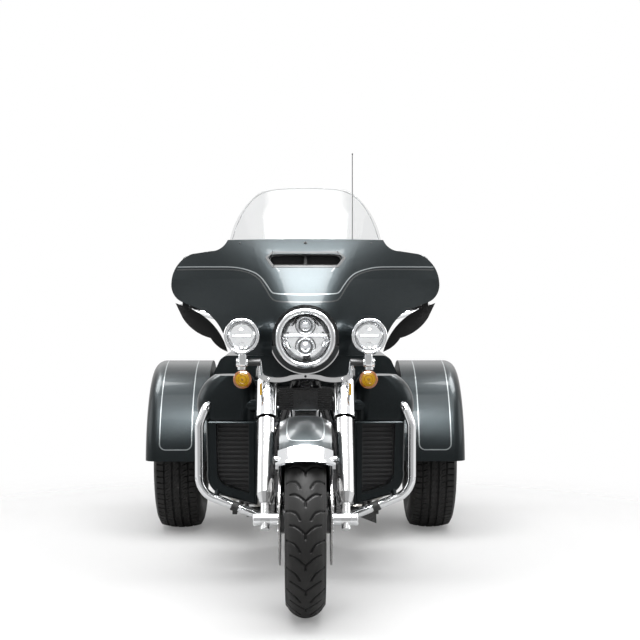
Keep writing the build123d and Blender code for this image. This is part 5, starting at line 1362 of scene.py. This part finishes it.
def makeBack():
    plate = {"spot": Vector((0, 1.3262, 0.600)), "size": (0.204, 0.120, 0.010), "thick": 0.0016,
             "rim": (0.208, 0.124, 0.012), "bead": 0.0030, "rise": 0.0018, "bolts": (-0.089, 0.089), "bolt": 0.006}
    tail = {"x": 0.373, "z": 0.580, "rim": (0.077, 0.167, 0.010), "rimY": 1.3166, "bead": 0.0040,
            "bars": (0.527, 0.553, 0.580, 0.607, 0.633), "half": (0.032, 0.0016), "barY": (1.3300, 1.3325)}
    latch = {"along": (0.800, 1.008), "seal": (0.600, 0.540, 0.070), "sealSpot": (0, 0.904, 0.9975), "bead": 0.0040}
    pipe = {"spot": (0.300, 0.984, 0.224),
            "tip": [(0.0418, -0.014), (0.0418, 0.0006), (0.0445, 0.0024), (0.0475, 0.0006), (0.0478, -0.010),
                    (0.0466, -0.014), (0.0418, -0.014)],
            "bore": [(0, 0.0008), (0.0425, 0.0008), (0.0425, -0.002), (0, -0.002)]}
    blank = plateShape(roundedOutline(*plate["size"]), plate["thick"], facingRider(plate["spot"]))
    newPiece("blankPlate", blank, "plateBlank", "trunk_door")
    bead = outlineTube(plate["rim"], plate["spot"] + Vector((0, plate["rise"], 0)), plate["bead"], 8)
    newPiece("plateFrame", bead, "chromePlate", "trunk_door")
    head = headObject("plateHead", buttonHead())
    bolts = [(plate["spot"] + Vector((x, plate["thick"], 0)), riderWay, plate["bolt"]) for x in plate["bolts"]]
    placedHeads("plateBolts", head, bolts, "boltSteel", "trunk_door")
    bpy.data.objects.remove(head)
    pull = softBox((-0.0745, 1.3215, 0.6845), (0.0745, 1.3305, 0.6945), 0.003, 3)
    newPiece("trunkPull", pull, "chromePlate", "trunk_door")
    rims, strips = [], []
    wide, high = tail["half"]
    for x in (tail["x"], -tail["x"]):
        rims.append(outlineTube(tail["rim"], (x, tail["rimY"], tail["z"]), tail["bead"], 10))
        strips += [softBox((x - wide, tail["barY"][0], z - high), (x + wide, tail["barY"][1], z + high), 0.0008, 1)
                   for z in tail["bars"]]
    newPiece("tailLampRims", joined(*rims), "chromePlate", "frame")
    newPiece("tailLampBars", joined(*strips), "redDeep", "frame")
    # the lid opens to the left, so its latches are on the right
    hasps = [softBox((-0.3070, y - 0.020, 1.006), (-0.2985, y + 0.020, 1.046), 0.003, 3) for y in latch["along"]]
    keepers = [softBox((-0.3085, y - 0.026, 0.948), (-0.2985, y + 0.026, 0.9985), 0.003, 3) for y in latch["along"]]
    newPiece("lidHasps", joined(*hasps), "chromePlate", "top_case_lid")
    newPiece("caseLatches", joined(*keepers), "chromePlate", "frame")
    line = [Vector(latch["sealSpot"]) + Vector((x, y, 0)) for x, y in roundedOutline(*latch["seal"], 8)]
    newPiece("caseSeal", tubeShape(line, latch["bead"], 8, True), "softRubber", "frame")
    tip, bore = spunShape(pipe["tip"], pipe["spot"], riderWay, 56), spunShape(pipe["bore"], pipe["spot"], riderWay, 48)
    newPiece("mufflerTips", bothSides(tip), "chromePlate", "frame")
    # a black disc just inside each pipe's end: painted shade for the dark inside of the pipe
    newPiece("mufflerBores", bothSides(bore), "grilleBlack", "frame")


makeBack()
print("back fitted")


def litMaterial(name):
    # an empty material whose surface is the stage's own
    look = bpy.data.materials.new(name)
    look.use_nodes = True
    look.node_tree.nodes.remove(look.node_tree.nodes["Principled BSDF"])
    return look, look.node_tree, look.node_tree.nodes["Material Output"]


def makeStage():
    # pale floor that fades into the white ground
    fade = {"from": 1.3, "to": 2.8, "pale": (0.62, 0.62, 0.62, 1), "glow": 0.17}
    rings = [(0.0, 0.0), (1.5, 0.0), (3.0, 0.0), (7.0, 0.0)]
    floorMesh = closedMesh("floor", spunShape(rings, (0, 0, -0.0005), (0, 0, 1), 96))
    floor = bpy.data.objects.new("floor", floorMesh)
    scene.collection.objects.link(floor)
    look, tree, out = litMaterial("floorPale")
    coords = addNode(tree, "ShaderNodeTexCoord").outputs["Object"]
    far = addRange(tree, addVectorMath(tree, "LENGTH", coords, result="Value"), fade["from"], fade["to"],
                   interpolation_type="SMOOTHSTEP")
    path = addNode(tree, "ShaderNodeLightPath")
    matte = addNode(tree, "ShaderNodeBsdfDiffuse", {"Color": fade["pale"]})
    glow = addNode(tree, "ShaderNodeEmission", {
        "Strength": addMath(tree, "MULTIPLY", path.outputs["Is Camera Ray"], fade["glow"])})
    near = addNode(tree, "ShaderNodeAddShader", {0: matte.outputs[0], 1: glow.outputs[0]})
    clear = addNode(tree, "ShaderNodeBsdfTransparent")
    mix = addNode(tree, "ShaderNodeMixShader", {0: far, 1: near.outputs[0], 2: clear.outputs[0]})
    feed(tree, out, {"Surface": mix.outputs[0]})
    floorMesh.materials.append(look)

    # white to the eye, in reflections and through glass, dimmer as a source of light
    world = bpy.data.worlds.new("studio")
    scene.world = world
    world.use_nodes = True
    tree = world.node_tree
    path = addNode(tree, "ShaderNodeLightPath").outputs
    seen = addMath(tree, "MAXIMUM", path["Is Camera Ray"], path["Is Glossy Ray"])
    level = addRange(tree, addMath(tree, "MAXIMUM", seen, path["Is Transmission Ray"]), 0.0, 1.0, 0.45, 1.0)
    feed(tree, tree.nodes["Background"], {"Color": (1, 1, 1, 1), "Strength": level})

    # a dim wall behind the camera, dark in its middle and white at its edges; only reflections see it
    wall = {"spot": Vector((0, -8.0, 1.3)), "half": (16.0, 5.0), "dark": 0.5, "from": 0.45, "to": 1.0}
    mesh = bpy.data.meshes.new("dimWall")
    corners = [wall["spot"] + Vector((x * wall["half"][0], 0, z * wall["half"][1]))
               for x, z in ((-1, -1), (1, -1), (1, 1), (-1, 1))]
    mesh.from_pydata([tuple(c) for c in corners], [], [[0, 1, 2, 3]])
    dim, tree, out = litMaterial("dimWall")
    coords = addNode(tree, "ShaderNodeTexCoord").outputs["Object"]
    place = addNode(tree, "ShaderNodeMapping", {
        "Vector": coords, "Location": wall["spot"], "Scale": (wall["half"][0], 1.0, wall["half"][1])},
        vector_type="TEXTURE")
    reach = addVectorMath(tree, "LENGTH", place.outputs[0], result="Value")
    bright = addRange(tree, reach, wall["from"], wall["to"], wall["dark"], interpolation_type="SMOOTHSTEP")
    glow = addNode(tree, "ShaderNodeEmission", {"Strength": bright})
    feed(tree, out, {"Surface": glow.outputs[0]})
    mesh.materials.append(dim)
    card = bpy.data.objects.new("dimWall", mesh)
    scene.collection.objects.link(card)
    for ray in ("camera", "diffuse", "transmission", "shadow"):
        setattr(card, "visible_" + ray, False)

    # (place, aim, size, power, whether bare surfaces, glossy ones or both take its light)
    lamps = {"topSoft": ((0.0, -1.4, 4.4), (0, -0.4, 0.8), (4.4, 2.6), 190, "both"),
             "hoodGlow": ((0.0, -1.42, 2.28), (0, -0.75, 1.1), (1.4, 1.3), 225, "glossy"),
             "leftGlow": ((-1.6, 1.0, 3.4), (-0.3, -0.5, 1.2), (1.3, 1.3), 150, "glossy"),
             "rightGlow": ((1.6, 1.0, 3.4), (0.3, -0.5, 1.2), (1.3, 1.3), 150, "glossy"),
             "frontSoft": ((0.0, -5.4, 3.6), (0, -0.3, 0.8), (3.6, 1.6), 60, "bare"),
             "leftSoft": ((-4.6, 0.4, 2.2), (0, 0, 0.7), (3.2, 2.0), 60, "both"),
             "rightSoft": ((4.6, 0.4, 2.2), (0, 0, 0.7), (3.2, 2.0), 60, "both"),
             "backSoft": ((0.0, 5.0, 4.2), (0, 0.2, 0.7), (7.0, 3.6), 70, "both")}
    for name, (spot, aim, size, power, takes) in lamps.items():
        data = bpy.data.lights.new(name, "AREA")
        data.shape = "RECTANGLE"
        data.size, data.size_y = size
        data.energy = power
        lamp = bpy.data.objects.new(name, data)
        scene.collection.objects.link(lamp)
        lamp.location = spot
        lamp.visible_camera = False
        lamp.visible_glossy = takes != "bare"
        lamp.visible_diffuse = takes != "glossy"
        lamp.rotation_euler = (Vector(aim) - Vector(spot)).to_track_quat("-Z", "Y").to_euler()


makeStage()
print("stage lit")
